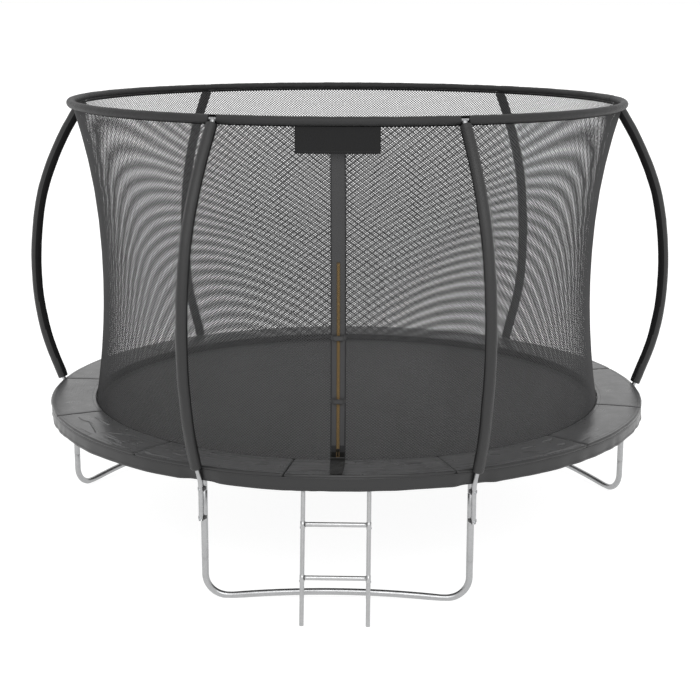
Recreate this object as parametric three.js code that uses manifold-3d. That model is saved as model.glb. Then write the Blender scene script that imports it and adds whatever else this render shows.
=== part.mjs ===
// Round garden trampoline, 3.66 m class, with a bowed-pole safety enclosure and a ladder.
// Millimetres, +Z up. The origin is on the floor, at the middle of the object's footprint.
// The round frame is centred RING_CY behind it, because the ladder stands out in front.
import * as THREE from 'three';
import { mergeVertices } from 'three/addons/utils/BufferGeometryUtils.js';
import Module from 'manifold-3d';

const wasm = await Module();
wasm.setup();

// ---------- driving dimensions ----------
const RING_CY = 88; // y of the centre of the round frame
const GAP = 0.3; // clearance between pieces that touch

const RAIL_R = 1800; // centreline radius of the top rail
const RAIL_Z = 718; // centreline height of the top rail, and the plane of the springs
const TUBE_R = 19; // rail, leg and base tube radius
const LEG_AZ = 23.3; // each U-leg spans plus and minus this angle, degrees
const SOCKET_Z = 614; // lower end of the rail's welded leg socket
const LEG_JOINT_Z = 233; // joint between leg upright and base tube
const BEND_R = 120; // bend radius of the base tube
const REST_RUN = 40; // straight run on which each corner of the base stands
const BAR_BOW = 27; // rise of the base tube's cross bar at its middle

const POLE_R = 12.5; // enclosure pole tube radius
const POLE_FOOT_R = 1836; // centreline radius of the pole's straight foot
const POLE_BOLT_Z = [466, 628]; // heights of the two bolts that hold each pole to its leg
const SLEEVE_R = 32; // foam sleeve outer radius
const SLEEVE_BORE = 16.4; // foam sleeve bore, across its corners
// enclosure pole centreline: [radius, height]
const POLE_PATH = [
  [1836, 452], [1836, 640], [1846, 690], [1861, 730],
  [1874, 757], [1884, 782], [1909, 846], [1948, 942], [1984, 1048], [2011, 1170], [2027, 1290],
  [2034, 1430], [2032, 1560], [2021, 1690], [2001, 1830], [1970, 1970], [1926, 2100],
  [1871, 2225], [1804, 2354], [1742, 2454], [1694.5, 2525],
];
const SLEEVE_FROM = 4; // station of POLE_PATH at which the sleeve starts
const SLEEVE_TOP = [1682.2, 2543.3]; // upper end of the sleeve, just below the hoop's hem

const POLE_TURN = 0.65; // from its foot up, each pole leans by this angle towards the middle of its pair of legs
const poleTurn = (z) => { const f = Math.min(1, Math.max(0, (z - 757) / 430)); return POLE_TURN * f * f * (3 - 2 * f); };

const HOOP_R = 1665; // top hoop centreline radius
const HOOP_Z = 2569; // top hoop centreline height
const HEM_R = 23.5; // hoop with its fabric hem, outer radius
const HOOP_GAP = 22.5; // half of the opening in the hem at each pole

const NET_MIN_R = 1506; // net radius at its waist
const NET_WAIST_Z = 1504;
const NET_ARC_R = 4416; // curvature of the net and of the zip, seen from the side
const NET_BEND_Z = 1864; // above this height the net flares out to the hoop
const NET_TOP_ARC_R = 3130;
const NET_BOTTOM_Z = 730, NET_TOP_Z = 2543, NET_T = 2;

const PAD_TOP = 764, PAD_UNDER = 744; // safety pad, top and underside
const PAD_INNER_R = 1576, PAD_OUTER_R = 1850;
const SKIRT_Z = 670, SKIRT_R = 1846, SKIRT_T = 4;
const SKIRT_PRESSED_R = 1824; // skirt's lower edge where it passes behind a pole

const MAT_R = 1560, MAT_TOP = 720, MAT_T = 4;
const SPRING_COUNT = 72, SPRING_HALF_W = 10, SPRING_T = 16;

const LADDER_HALF = 172.5; // upright centre, either side of the door
const LADDER_TUBE_R = 12;
const LADDER_FOOT_R = 2013; // distance of the feet from the ring's centre
const STEP_Z = [235, 499];
const STEP_R = 13;
const HOOK_IN = 20.8, HOOK_OUT = 25.2, HOOK_W = 24;

const STRIP_HALF = 40, STRIP_T = 2, STRIP_OFF = 3; // door strip, and its distance outside the net
const ZIP_HALF = 9.5, ZIP_T = 2, ZIP_OFF = 5.4, ZIP_Z = [775, 1824];
const SLIDER_OFF = 8.9, SLIDER_T = 6, SLIDER_HALF = 10, SLIDER_Z = [802, 828];
const PULL_OFF = 16.1, PULL_T = 2, PULL_HALF = 4.5, PULL_Z = [782, 822];
const STRAP_Z = [1079, 1419], STRAP_H = 28, STRAP_HALF = 41.5, STRAP_T = 2.5, STRAP_RISE = 14;
const BANNER_R = 1660, BANNER_T = 3, BANNER_Z = [2404, 2542], BANNER_HALF_AZ = 7.53;

// ---------- materials ----------
const mat = (color, roughness, metalness) => new THREE.MeshStandardMaterial({ color, roughness, metalness });
const STEEL = () => mat(0xa9abac, 0.38, 0.9);
const SLEEVE_FABRIC = () => mat(0x404143, 0.8, 0);
const NET_FABRIC = () => mat(0x3a3b3d, 0.85, 0);
const MAT_FABRIC = () => mat(0x464748, 0.75, 0);
const PAD_VINYL = () => mat(0x424345, 0.5, 0);
const WEBBING = () => mat(0x48494a, 0.8, 0);
const BANNER_CLOTH = () => mat(0x2a2b2c, 0.7, 0);
const ZIP_COIL = () => mat(0x7a5a2a, 0.6, 0);
const ZINC = () => mat(0xb9b6ae, 0.35, 0.9);

// ---------- helpers ----------
const range = (a, b, n) => Array.from({ length: n + 1 }, (_, i) => a + ((b - a) * i) / n);
const rad = (a) => (a * Math.PI) / 180;
const root = new THREE.Group();
const ring = new THREE.Group();
ring.position.y = RING_CY;
root.add(ring);

// Azimuth 0 is the front of the ring (-Y), and grows towards +X.
const polar = (r, az, z) => new THREE.Vector3(r * Math.sin(rad(az)), -r * Math.cos(rad(az)), z);

function add(name, geometry, material) {
  const m = new THREE.Mesh(geometry, material);
  m.name = name;
  ring.add(m);
  return m;
}

// A path through given stations, so that every ring of a swept tube lies where it is stated.
class StationPath extends THREE.Curve {
  constructor(points, tangents = {}) {
    super();
    this.pts = points;
    this.tan = points.map((p, i) => {
      if (tangents[i]) return tangents[i].clone().normalize();
      const a = points[Math.max(0, i - 1)], b = points[Math.min(points.length - 1, i + 1)];
      const d1 = p.clone().sub(a).normalize(), d2 = b.clone().sub(p).normalize();
      return d1.add(d2).normalize();
    });
  }
  index(u) { return Math.round(u * (this.pts.length - 1)); }
  getPoint(u, target = new THREE.Vector3()) { return target.copy(this.pts[this.index(u)]); }
  getPointAt(u, target) { return this.getPoint(u, target); }
  getTangent(u, target = new THREE.Vector3()) { return target.copy(this.tan[this.index(u)]); }
  getTangentAt(u, target) { return this.getTangent(u, target); }
  getSpacedPoints() { return this.pts.map((p) => p.clone()); }
}

// A regular polygon with flats on its four sides, so that a tube has a flat underside.
function polygon(r, sides, clockwise = false) {
  const pts = [];
  for (let k = 0; k < sides; k++) {
    const a = ((k + 0.5) * 2 * Math.PI) / sides;
    pts.push(new THREE.Vector2(r * Math.cos(a), r * Math.sin(a)));
  }
  return clockwise ? pts.reverse() : pts;
}

function tube(points, r, sides = 8, tangents = {}, bore = 0, boreSides = 6) {
  const shape = new THREE.Shape(polygon(r, sides));
  if (bore) shape.holes.push(new THREE.Path(polygon(bore, boreSides, true)));
  return new THREE.ExtrudeGeometry(shape, {
    steps: points.length - 1, bevelEnabled: false, extrudePath: new StationPath(points, tangents),
  });
}

// A level tube along the ring between two azimuths, with its ends cut square to it.
function arcTube(r, z, from, to, n, tubeR) {
  const azs = range(from, to, n);
  const across = {};
  azs.forEach((a, i) => { across[i] = new THREE.Vector3(Math.cos(rad(a)), Math.sin(rad(a)), 0); });
  return tube(azs.map((a) => polar(r, a, z)), tubeR, 8, across);
}

// ---- closed solids in and out of the boolean library ----
function toManifold(geometry) {
  const g = geometry.clone();
  g.deleteAttribute('normal');
  g.deleteAttribute('uv');
  const m = mergeVertices(g, 1e-4);
  return new wasm.Manifold(new wasm.Mesh({
    numProp: 3,
    vertProperties: new Float32Array(m.attributes.position.array),
    triVerts: new Uint32Array(m.index.array),
  }));
}
function fromManifold(solid) {
  const m = solid.getMesh();
  const g = new THREE.BufferGeometry();
  g.setAttribute('position', new THREE.BufferAttribute(new Float32Array(m.vertProperties), 3));
  g.setIndex(new THREE.BufferAttribute(new Uint32Array(m.triVerts), 1));
  g.computeVertexNormals();
  return g;
}
const join = (...gs) => fromManifold(gs.map(toManifold).reduce((a, b) => a.add(b)));
const keepInside = (a, b) => fromManifold(toManifold(a).intersect(toManifold(b)));

// Closed shell between two grids of points, grid[i][j].
function shell(outer, inner) {
  const n = outer.length, m = outer[0].length, pos = [], idx = [];
  for (const g of [outer, inner]) for (const row of g) for (const p of row) pos.push(p.x, p.y, p.z);
  const o = (i, j) => i * m + j, q = (i, j) => n * m + i * m + j;
  const quad = (a, b, c, d) => idx.push(a, b, c, a, c, d);
  for (let i = 0; i < n - 1; i++) {
    for (let j = 0; j < m - 1; j++) {
      quad(o(i, j), o(i + 1, j), o(i + 1, j + 1), o(i, j + 1));
      quad(q(i, j), q(i, j + 1), q(i + 1, j + 1), q(i + 1, j));
    }
  }
  for (let i = 0; i < n - 1; i++) {
    quad(o(i, 0), q(i, 0), q(i + 1, 0), o(i + 1, 0));
    quad(o(i, m - 1), o(i + 1, m - 1), q(i + 1, m - 1), q(i, m - 1));
  }
  for (let j = 0; j < m - 1; j++) {
    quad(o(0, j), o(0, j + 1), q(0, j + 1), q(0, j));
    quad(o(n - 1, j), q(n - 1, j), q(n - 1, j + 1), o(n - 1, j + 1));
  }
  const g = new THREE.BufferGeometry();
  g.setAttribute('position', new THREE.Float32BufferAttribute(pos, 3));
  g.setIndex(idx);
  g.computeVertexNormals();
  return g;
}

// A closed band about Z; profile(azimuth) gives its section as [radius, height] points.
function closedBand(azs, profile) {
  const n = azs.length, m = profile(azs[0]).length, pos = [], idx = [];
  for (const a of azs) for (const [r, z] of profile(a)) { const p = polar(r, a, z); pos.push(p.x, p.y, p.z); }
  for (let i = 0; i < n; i++) {
    for (let j = 0; j < m; j++) {
      const i2 = (i + 1) % n, j2 = (j + 1) % m;
      idx.push(i * m + j, i2 * m + j, i2 * m + j2, i * m + j, i2 * m + j2, i * m + j2);
    }
  }
  const g = new THREE.BufferGeometry();
  g.setAttribute('position', new THREE.Float32BufferAttribute(pos, 3));
  g.setIndex(idx);
  g.computeVertexNormals();
  return g;
}

// A solid of revolution about Z from a closed profile of [radius, height].
function revolve(profile, segments) {
  const pts = profile.map(([r, z]) => new THREE.Vector2(r, z));
  const g = new THREE.LatheGeometry(pts, segments);
  g.rotateX(Math.PI / 2);
  return g;
}

// True curve of the net, then the straight-sided line through its stations that every piece of the net follows.
const netCurve = (z) => (z <= NET_BEND_Z
  ? NET_MIN_R + (z - NET_WAIST_Z) ** 2 / (2 * NET_ARC_R)
  : NET_MIN_R + (NET_BEND_Z - NET_WAIST_Z) ** 2 / (2 * NET_ARC_R)
    + ((NET_BEND_Z - NET_WAIST_Z) / NET_ARC_R) * (z - NET_BEND_Z) + (z - NET_BEND_Z) ** 2 / (2 * NET_TOP_ARC_R));
const NET_STATIONS = [NET_BOTTOM_Z, 780, 900, 1050, 1200, 1350, 1504, 1680, 1864, 2050, 2220, 2385, NET_TOP_Z];
function netR(z) {
  const i = Math.max(0, NET_STATIONS.findLastIndex((s, k) => s <= z && k < NET_STATIONS.length - 1));
  const [a, b] = [NET_STATIONS[i], NET_STATIONS[i + 1]];
  return netCurve(a) + ((netCurve(b) - netCurve(a)) * (z - a)) / (b - a);
}
const stationsBetween = (a, b) => [a, ...NET_STATIONS.filter((s) => s > a + 5 && s < b - 5), b];

// A band that follows the net's outside at azimuth 0: flat across x, off to off + t outside the net.
function band(zs, off, t, half, extra = []) {
  const outer = zs.map((z) => [netR(z) + off + t, z]);
  const inner = zs.map((z) => [netR(z) + off, z]).reverse();
  const shape = new THREE.Shape([...extra, ...outer, ...inner].map(([r, z]) => new THREE.Vector2(r, z)));
  const g = new THREE.ExtrudeGeometry(shape, { depth: 2 * half, bevelEnabled: false });
  // shape x is radius, shape y is height, depth runs across: map to (x = depth - half, y = -radius, z = height)
  g.applyMatrix4(new THREE.Matrix4().set(
    0, 0, 1, -half,
    -1, 0, 0, 0,
    0, 1, 0, 0,
    0, 0, 0, 1,
  ));
  if (new THREE.Matrix4().set(0, 0, 1, 0, -1, 0, 0, 0, 0, 1, 0, 0, 0, 0, 0, 1).determinant() < 0) flip(g);
  return g;
}
function flip(g) {
  const src = g.index ? g.index.array : null;
  if (src) {
    for (let i = 0; i < src.length; i += 3) [src[i + 1], src[i + 2]] = [src[i + 2], src[i + 1]];
  } else {
    const p = g.attributes.position.array;
    for (let i = 0; i < p.length; i += 9) for (let k = 0; k < 3; k++) [p[i + 3 + k], p[i + 6 + k]] = [p[i + 6 + k], p[i + 3 + k]];
  }
  return g;
}
// ---------- base frame ----------
const SECTOR_NAMES = ['front_right', 'right', 'back_right', 'back_left', 'left', 'front_left'];
const LEG_AZIMUTHS = [LEG_AZ, 120 - LEG_AZ, 120 + LEG_AZ, 240 - LEG_AZ, 240 + LEG_AZ, 360 - LEG_AZ];
const POLE_TOP_AZIMUTHS = LEG_AZIMUTHS.map((az, k) => az + (k % 2 ? POLE_TURN : -POLE_TURN));

LEG_AZIMUTHS.forEach((az, k) => {
  const name = SECTOR_NAMES[k];
  // top rail segment, swaged into its neighbours, with the welded socket of one leg
  const gapAz = (GAP / 2 / RAIL_R) * (180 / Math.PI);
  const socket = tube([polar(RAIL_R, az, RAIL_Z - 4), polar(RAIL_R, az, SOCKET_Z)], TUBE_R, 8);
  add(`top_rail_${name}`, join(arcTube(RAIL_R, RAIL_Z, 60 * k + gapAz, 60 * (k + 1) - gapAz, 10, TUBE_R), socket), STEEL());

  // leg upright between the socket and the base tube
  add(`leg_upright_${name}`, tube([
    polar(RAIL_R, az, SOCKET_Z - GAP), polar(RAIL_R, az, LEG_JOINT_Z + GAP)], TUBE_R, 8), STEEL());

  // enclosure pole: a steel tube with two spacer saddles and bolts at its straight foot
  const poleStations = POLE_PATH.map(([r, z]) => polar(r, az + (k % 2 ? 1 : -1) * poleTurn(z), z));
  const topAz = POLE_TOP_AZIMUTHS[k];
  const turn = new THREE.Matrix4().makeRotationZ(rad(az));
  const pieces = [tube(poleStations, POLE_R, 8)];
  for (const z of POLE_BOLT_Z) {
    const saddle = new THREE.BoxGeometry(38, POLE_FOOT_R - RAIL_R - TUBE_R - 0.4, 8);
    saddle.translate(0, -(POLE_FOOT_R + RAIL_R + TUBE_R + 0.4) / 2, z);
    const head = new THREE.CylinderGeometry(6.5, 6.5, 12, 6);
    head.translate(0, -(POLE_FOOT_R + POLE_R), z);
    saddle.applyMatrix4(turn);
    head.applyMatrix4(turn);
    pieces.push(saddle, head);
  }
  add(`enclosure_pole_${name}`, join(...pieces), STEEL());

  // foam sleeve around the pole, up to the hoop's hem
  add(`pole_sleeve_${name}`, tube([...poleStations.slice(SLEEVE_FROM), polar(SLEEVE_TOP[0], topAz, SLEEVE_TOP[1])], SLEEVE_R, 8, {}, SLEEVE_BORE, 6), SLEEVE_FABRIC());

  // tee at the pole's top that carries the hoop; its stub is inside the sleeve's upper end
  const top = POLE_PATH[POLE_PATH.length - 1];
  const dir = new THREE.Vector2(HOOP_R - top[0], HOOP_Z - top[1]).normalize();
  const stub = tube([
    polar(HOOP_R, topAz, HOOP_Z), polar(top[0] + dir.x * 0.4, topAz, top[1] + dir.y * 0.4)], 13.6, 8);
  const halfAz = ((HOOP_GAP - GAP) / HOOP_R) * (180 / Math.PI);
  const cross = arcTube(HOOP_R, HOOP_Z, topAz - halfAz, topAz + halfAz, 2, 10);
  add(`hoop_tee_${name}`, join(cross, stub), STEEL());
});

// hoop segments in the net's hem, from tee to tee
POLE_TOP_AZIMUTHS.forEach((az, k) => {
  const next = k === 5 ? POLE_TOP_AZIMUTHS[0] + 360 : POLE_TOP_AZIMUTHS[k + 1];
  const d = (HOOP_GAP / HOOP_R) * (180 / Math.PI);
  const n = next - az > 60 ? 12 : 8;
  const side = ['right_front', 'right_back', 'back', 'left_back', 'left_front', 'front'][k];
  add(`hoop_hem_${side}`, arcTube(HOOP_R, HOOP_Z, az + d, next - d, n, HEM_R), SLEEVE_FABRIC());
});

// U-shaped base tube of each pair of legs
const legX = RAIL_R * Math.sin(rad(LEG_AZ)), legY = -RAIL_R * Math.cos(rad(LEG_AZ));
const APOTHEM = TUBE_R * Math.cos(Math.PI / 8);
['front', 'right', 'left'].forEach((name, k) => {
  const pts = [], tan = {};
  const P = (x, z) => pts.push(new THREE.Vector3(x, legY, z));
  P(-legX, LEG_JOINT_Z);
  for (let i = 0; i <= 8; i++) {
    const a = rad(180 + (i * 90) / 8);
    P(-legX + BEND_R + BEND_R * Math.cos(a), APOTHEM + BEND_R + BEND_R * Math.sin(a));
  }
  tan[pts.length - 1] = new THREE.Vector3(1, 0, 0);
  const x1 = -legX + BEND_R + REST_RUN;
  P(x1, APOTHEM);
  tan[pts.length - 1] = new THREE.Vector3(1, 0, 0);
  for (let i = 1; i < 8; i++) {
    const x = x1 + (i * -2 * x1) / 8;
    P(x, APOTHEM + BAR_BOW * (1 - (x / x1) ** 2));
  }
  P(-x1, APOTHEM);
  tan[pts.length - 1] = new THREE.Vector3(1, 0, 0);
  P(-x1 + REST_RUN, APOTHEM);
  tan[pts.length - 1] = new THREE.Vector3(1, 0, 0);
  for (let i = 1; i <= 8; i++) {
    const a = rad(270 + (i * 90) / 8);
    P(legX - BEND_R + BEND_R * Math.cos(a), APOTHEM + BEND_R + BEND_R * Math.sin(a));
  }
  P(legX, LEG_JOINT_Z);
  // the bend ends exactly below the upright on both sides
  const g = tube(pts, TUBE_R, 8, tan);
  g.rotateZ(rad([0, 120, 240][k]));
  add(`leg_base_${name}`, g, STEEL());
});

// ---------- net ----------
const netZ = NET_STATIONS;
SECTOR_NAMES.forEach((name, k) => {
  const e = 0.02;
  const azs = range(60 * k + e, 60 * (k + 1) - e, 6);
  const outer = azs.map((a) => netZ.map((z) => polar(netR(z), a, z)));
  const inner = azs.map((a) => netZ.map((z) => polar(netR(z) - NET_T, a, z)));
  add(`net_panel_${name}`, shell(outer, inner), NET_FABRIC());
});

// ---------- safety pad, springs and mat ----------
add('safety_pad', revolve([
  [PAD_INNER_R, PAD_UNDER], [PAD_OUTER_R - 2, PAD_UNDER], [PAD_OUTER_R, PAD_TOP - 8], [PAD_OUTER_R - 6, PAD_TOP],
  [PAD_INNER_R, PAD_TOP], [PAD_INNER_R, PAD_UNDER],
], 60), PAD_VINYL());

{
  // skirt that hangs from the pad's outer edge, pressed in where it passes behind each pole
  const away = (a) => Math.min(...LEG_AZIMUTHS.map((leg) => Math.abs(((a - leg + 540) % 360) - 180)));
  const azs = range(0, 354, 59).filter((a) => away(a) > 5.5);
  for (const leg of LEG_AZIMUTHS) azs.push(leg - 4.2, leg - 1.6, leg + 1.6, leg + 4.2);
  azs.sort((a, b) => a - b);
  add('pad_skirt', closedBand(azs, (a) => {
    const r = SKIRT_PRESSED_R + (SKIRT_R - SKIRT_PRESSED_R) * Math.min(1, Math.max(0, (away(a) - 1.6) / 2.6));
    return [[PAD_OUTER_R - 7, PAD_UNDER - GAP], [r - SKIRT_T, SKIRT_Z], [r, SKIRT_Z], [PAD_OUTER_R - 2, PAD_UNDER - GAP]];
  }), PAD_VINYL());
}

add('jump_mat', revolve([
  [0, MAT_TOP - MAT_T], [MAT_R, MAT_TOP - MAT_T], [MAT_R, MAT_TOP], [0, MAT_TOP]], 48), MAT_FABRIC());

{
  // ring of springs: every spring's envelope, joined by the row of triangle rings at the mat's edge
  const shape = new THREE.Shape();
  const outer = [];
  const rTip = RAIL_R - TUBE_R - 2, rHoop = MAT_R + 14;
  for (let k = 0; k < SPRING_COUNT; k++) {
    const az = (360 / SPRING_COUNT) * (k + 0.5);
    const c = polar(1, az, 0), s = new THREE.Vector3(-c.y, c.x, 0);
    for (const [r, w] of [[rHoop, -SPRING_HALF_W], [rTip, -SPRING_HALF_W], [rTip, SPRING_HALF_W], [rHoop, SPRING_HALF_W]]) {
      outer.push(new THREE.Vector2(c.x * r + s.x * w, c.y * r + s.y * w));
    }
  }
  shape.setFromPoints(outer);
  const hole = [];
  for (let k = 0; k < SPRING_COUNT; k++) {
    const p = polar(MAT_R + 6, (360 / SPRING_COUNT) * k, 0);
    hole.push(new THREE.Vector2(p.x, p.y));
  }
  shape.holes.push(new THREE.Path(hole.reverse()));
  const g = new THREE.ExtrudeGeometry(shape, { depth: SPRING_T, bevelEnabled: false });
  g.translate(0, 0, RAIL_Z - SPRING_T / 2);
  add('mat_springs', g, STEEL());
}

// ---------- door in the net ----------
add('door_strip', band(NET_STATIONS.slice(1, -1).concat(NET_TOP_Z - 3), STRIP_OFF, STRIP_T, STRIP_HALF,
  [[netR(766) + STRIP_OFF, PAD_TOP + 0.5], [PAD_OUTER_R - 14, PAD_TOP + 0.5], [PAD_OUTER_R - 14, PAD_TOP + 2.5], [netR(768) + STRIP_OFF + STRIP_T, PAD_TOP + 2.5]]), WEBBING());
add('zip_track', band(stationsBetween(...ZIP_Z), ZIP_OFF, ZIP_T, ZIP_HALF), ZIP_COIL());
add('zip_slider', band(SLIDER_Z, SLIDER_OFF, SLIDER_T, SLIDER_HALF), ZINC());
add('zip_pull', band(PULL_Z, PULL_OFF, PULL_T, PULL_HALF), ZINC());

STRAP_Z.forEach((z, k) => {
  // closing strap: flat ends on the strip, arched over the zip slider's way
  const y0 = 0.4, y1 = y0 + STRAP_RISE;
  const under = [[-STRAP_HALF, y0], [-31, y0], [-22, y1], [22, y1], [31, y0], [STRAP_HALF, y0]];
  const over = [[STRAP_HALF, y0 + STRAP_T], [32, y0 + STRAP_T], [23, y1 + STRAP_T], [-23, y1 + STRAP_T], [-32, y0 + STRAP_T], [-STRAP_HALF, y0 + STRAP_T]];
  const shape = new THREE.Shape([...under, ...over].map(([x, y]) => new THREE.Vector2(x, -y)));
  const g = new THREE.ExtrudeGeometry(shape, { depth: STRAP_H, bevelEnabled: false });
  g.translate(0, 0, -STRAP_H / 2);
  const slope = Math.atan((z - NET_WAIST_Z) / NET_ARC_R);
  g.rotateX(slope);
  g.translate(0, -(netR(z) + STRIP_OFF + STRIP_T), z);
  add(['door_strap_lower', 'door_strap_upper'][k], g, WEBBING());
});

{
  const azs = range(-BANNER_HALF_AZ, BANNER_HALF_AZ, 4);
  const outer = azs.map((a) => BANNER_Z.map((z) => polar(BANNER_R + BANNER_T, a, z)));
  const inner = azs.map((a) => BANNER_Z.map((z) => polar(BANNER_R, a, z)));
  add('banner', shell(outer, inner), BANNER_CLOTH());
}

// ---------- ladder ----------
const hookY = -Math.sqrt(RAIL_R ** 2 - LADDER_HALF ** 2);
const lean = new THREE.Vector3(0, -LADDER_FOOT_R - hookY, -RAIL_Z).normalize();
const ladderY = (z) => hookY + (lean.y / lean.z) * (z - RAIL_Z);
const ABOVE_FLOOR = () => {
  const b = new THREE.BoxGeometry(600, 1200, 1200);
  b.translate(0, -1900, 600);
  return b;
};
[-1, 1].forEach((side) => {
  const x = side * LADDER_HALF;
  const start = new THREE.Vector3(x, hookY, RAIL_Z).addScaledVector(lean, 21.4);
  const end = new THREE.Vector3(x, ladderY(-30), -30);
  // hook of flat bar, bent over the rail: angle 0 points into the ring, 90 up, 180 outwards
  const pts = [];
  const from = 268, to = -25, n = 12;
  for (let i = 0; i <= n; i++) {
    const a = rad(from + ((to - from) * i) / n);
    pts.push(new THREE.Vector2(HOOK_OUT * Math.cos(a), HOOK_OUT * Math.sin(a)));
  }
  for (let i = n; i >= 0; i--) {
    const a = rad(from + ((to - from) * i) / n);
    pts.push(new THREE.Vector2(HOOK_IN * Math.cos(a), HOOK_IN * Math.sin(a)));
  }
  const hook = new THREE.ExtrudeGeometry(new THREE.Shape(pts), { depth: HOOK_W, bevelEnabled: false });
  // shape x is +Y, shape y is +Z, depth is +X
  hook.applyMatrix4(new THREE.Matrix4().set(
    0, 0, 1, x - HOOK_W / 2,
    1, 0, 0, hookY,
    0, 1, 0, RAIL_Z,
    0, 0, 0, 1,
  ));
  const g = keepInside(join(tube([start, end], LADDER_TUBE_R, 8), hook), ABOVE_FLOOR());
  add(`ladder_upright_${side < 0 ? 'left' : 'right'}`, g, STEEL());
});
STEP_Z.forEach((z, k) => {
  const w = LADDER_HALF - LADDER_TUBE_R - GAP;
  add(`ladder_step_${['lower', 'upper'][k]}`, tube([
    new THREE.Vector3(-w, ladderY(z), z), new THREE.Vector3(w, ladderY(z), z)], STEP_R, 8), STEEL());
});

export default root;
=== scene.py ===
import bpy
import math
import numpy as np
from mathutils import Matrix, Vector


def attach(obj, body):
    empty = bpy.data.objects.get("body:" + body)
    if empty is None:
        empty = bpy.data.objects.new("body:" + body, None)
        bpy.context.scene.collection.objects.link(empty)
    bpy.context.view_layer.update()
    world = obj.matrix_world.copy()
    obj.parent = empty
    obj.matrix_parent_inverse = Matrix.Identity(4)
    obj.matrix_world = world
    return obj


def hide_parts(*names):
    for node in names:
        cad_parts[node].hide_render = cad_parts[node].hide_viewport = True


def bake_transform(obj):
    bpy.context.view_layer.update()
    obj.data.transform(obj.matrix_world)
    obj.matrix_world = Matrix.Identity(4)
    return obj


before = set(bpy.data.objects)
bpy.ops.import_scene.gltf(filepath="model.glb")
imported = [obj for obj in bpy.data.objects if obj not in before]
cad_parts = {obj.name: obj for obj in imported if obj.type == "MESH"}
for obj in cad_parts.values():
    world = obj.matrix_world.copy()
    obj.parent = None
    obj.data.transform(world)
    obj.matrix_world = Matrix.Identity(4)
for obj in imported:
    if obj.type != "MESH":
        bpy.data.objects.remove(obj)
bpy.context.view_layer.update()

pi = math.pi
rad = math.radians

# ------------------------------------------------------------------ sizes, in metres
CY = 0.088                      # y of the centre of the round frame
RAIL_R, RAIL_Z, TUBE_R = 1.800, 0.718, 0.019
LEG_AZ, SOCKET_Z, LEG_JOINT_Z = 23.3, 0.614, 0.233
BEND_R, REST_RUN, BAR_BOW = 0.120, 0.040, 0.027
POLE_R, POLE_FOOT_R, POLE_BOLT_Z = 0.0125, 1.836, (0.466, 0.628)
SLEEVE_R = 0.032
POLE_PATH = np.array([
    [1836, 452], [1836, 640], [1846, 690], [1861, 730], [1874, 757], [1884, 782], [1909, 846], [1948, 942],
    [1984, 1048], [2011, 1170], [2027, 1290], [2034, 1430], [2032, 1560], [2021, 1690], [2001, 1830], [1970, 1970],
    [1926, 2100], [1871, 2225], [1804, 2354], [1742, 2454], [1694.5, 2525]]) / 1000
SLEEVE_Z, SLEEVE_TOP = 0.757, (1.6822, 2.5433)
HOOP_R, HOOP_Z, HEM_R, HOOP_GAP = 1.665, 2.569, 0.0235, 0.0225
NET_BOTTOM, NET_TOP = 0.730, 2.543
PAD_TOP, PAD_UNDER, PAD_INNER, PAD_OUTER = 0.764, 0.744, 1.576, 1.850
SKIRT_Z, SKIRT_R, SKIRT_PRESSED_R = 0.670, 1.846, 1.824
MAT_R, MAT_TOP = 1.560, 0.720
SPRINGS = 72
LADDER_HALF, LADDER_TUBE_R, LADDER_FOOT_R = 0.1725, 0.012, 2.013
STEP_Z, STEP_R = (0.235, 0.499), 0.013
STRIP_HALF, STRIP_OFF, STRIP_T = 0.040, 0.003, 0.002
ZIP_HALF, ZIP_OFF, ZIP_Z = 0.0095, 0.0054, (0.775, 1.824)
SLIDER_OFF, SLIDER_Z, SLIDER_HALF = 0.0089, (0.802, 0.828), 0.010
PULL_OFF, PULL_Z, PULL_HALF = 0.0161, (0.782, 0.822), 0.0045
STRAP_Z, STRAP_H, STRAP_HALF, STRAP_T, STRAP_RISE = (1.079, 1.419), 0.028, 0.0415, 0.0025, 0.014
BANNER_R, BANNER_T, BANNER_Z, BANNER_AZ = 1.660, 0.003, (2.404, 2.542), 7.53
SECTORS = ["front_right", "right", "back_right", "back_left", "left", "front_left"]
HEM_NAMES = ["right_front", "right_back", "back", "left_back", "left_front", "front"]
LEG_AZS = [LEG_AZ, 120 - LEG_AZ, 120 + LEG_AZ, 240 - LEG_AZ, 240 + LEG_AZ, 360 - LEG_AZ]
POLE_TURN = 0.65                # degrees by which a pole leans towards the middle of its pair of legs
TOP_AZS = [az + (POLE_TURN if k % 2 else -POLE_TURN) for k, az in enumerate(LEG_AZS)]
NET_STATIONS = [730, 780, 900, 1050, 1200, 1350, 1504, 1680, 1864, 2050, 2220, 2385, 2543]


def net_curve(z):
    z = np.asarray(z, float) * 1000
    low = 1506 + (z - 1504) ** 2 / (2 * 4416)
    high = 1506 + 360 ** 2 / (2 * 4416) + (360 / 4416) * (z - 1864) + (z - 1864) ** 2 / (2 * 3130)
    return np.where(z <= 1864, low, high) / 1000


def net_r(z):
    st = np.array(NET_STATIONS) / 1000
    return np.interp(z, st, net_curve(st))


def pol(r, az, z):
    """Points from radius, azimuth in degrees (0 at the front, growing towards +X) and height."""
    r, az, z = np.broadcast_arrays(np.asarray(r, float), np.radians(np.asarray(az, float)), np.asarray(z, float))
    return np.stack([r * np.sin(az), -r * np.cos(az) + CY, z], -1)


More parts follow.
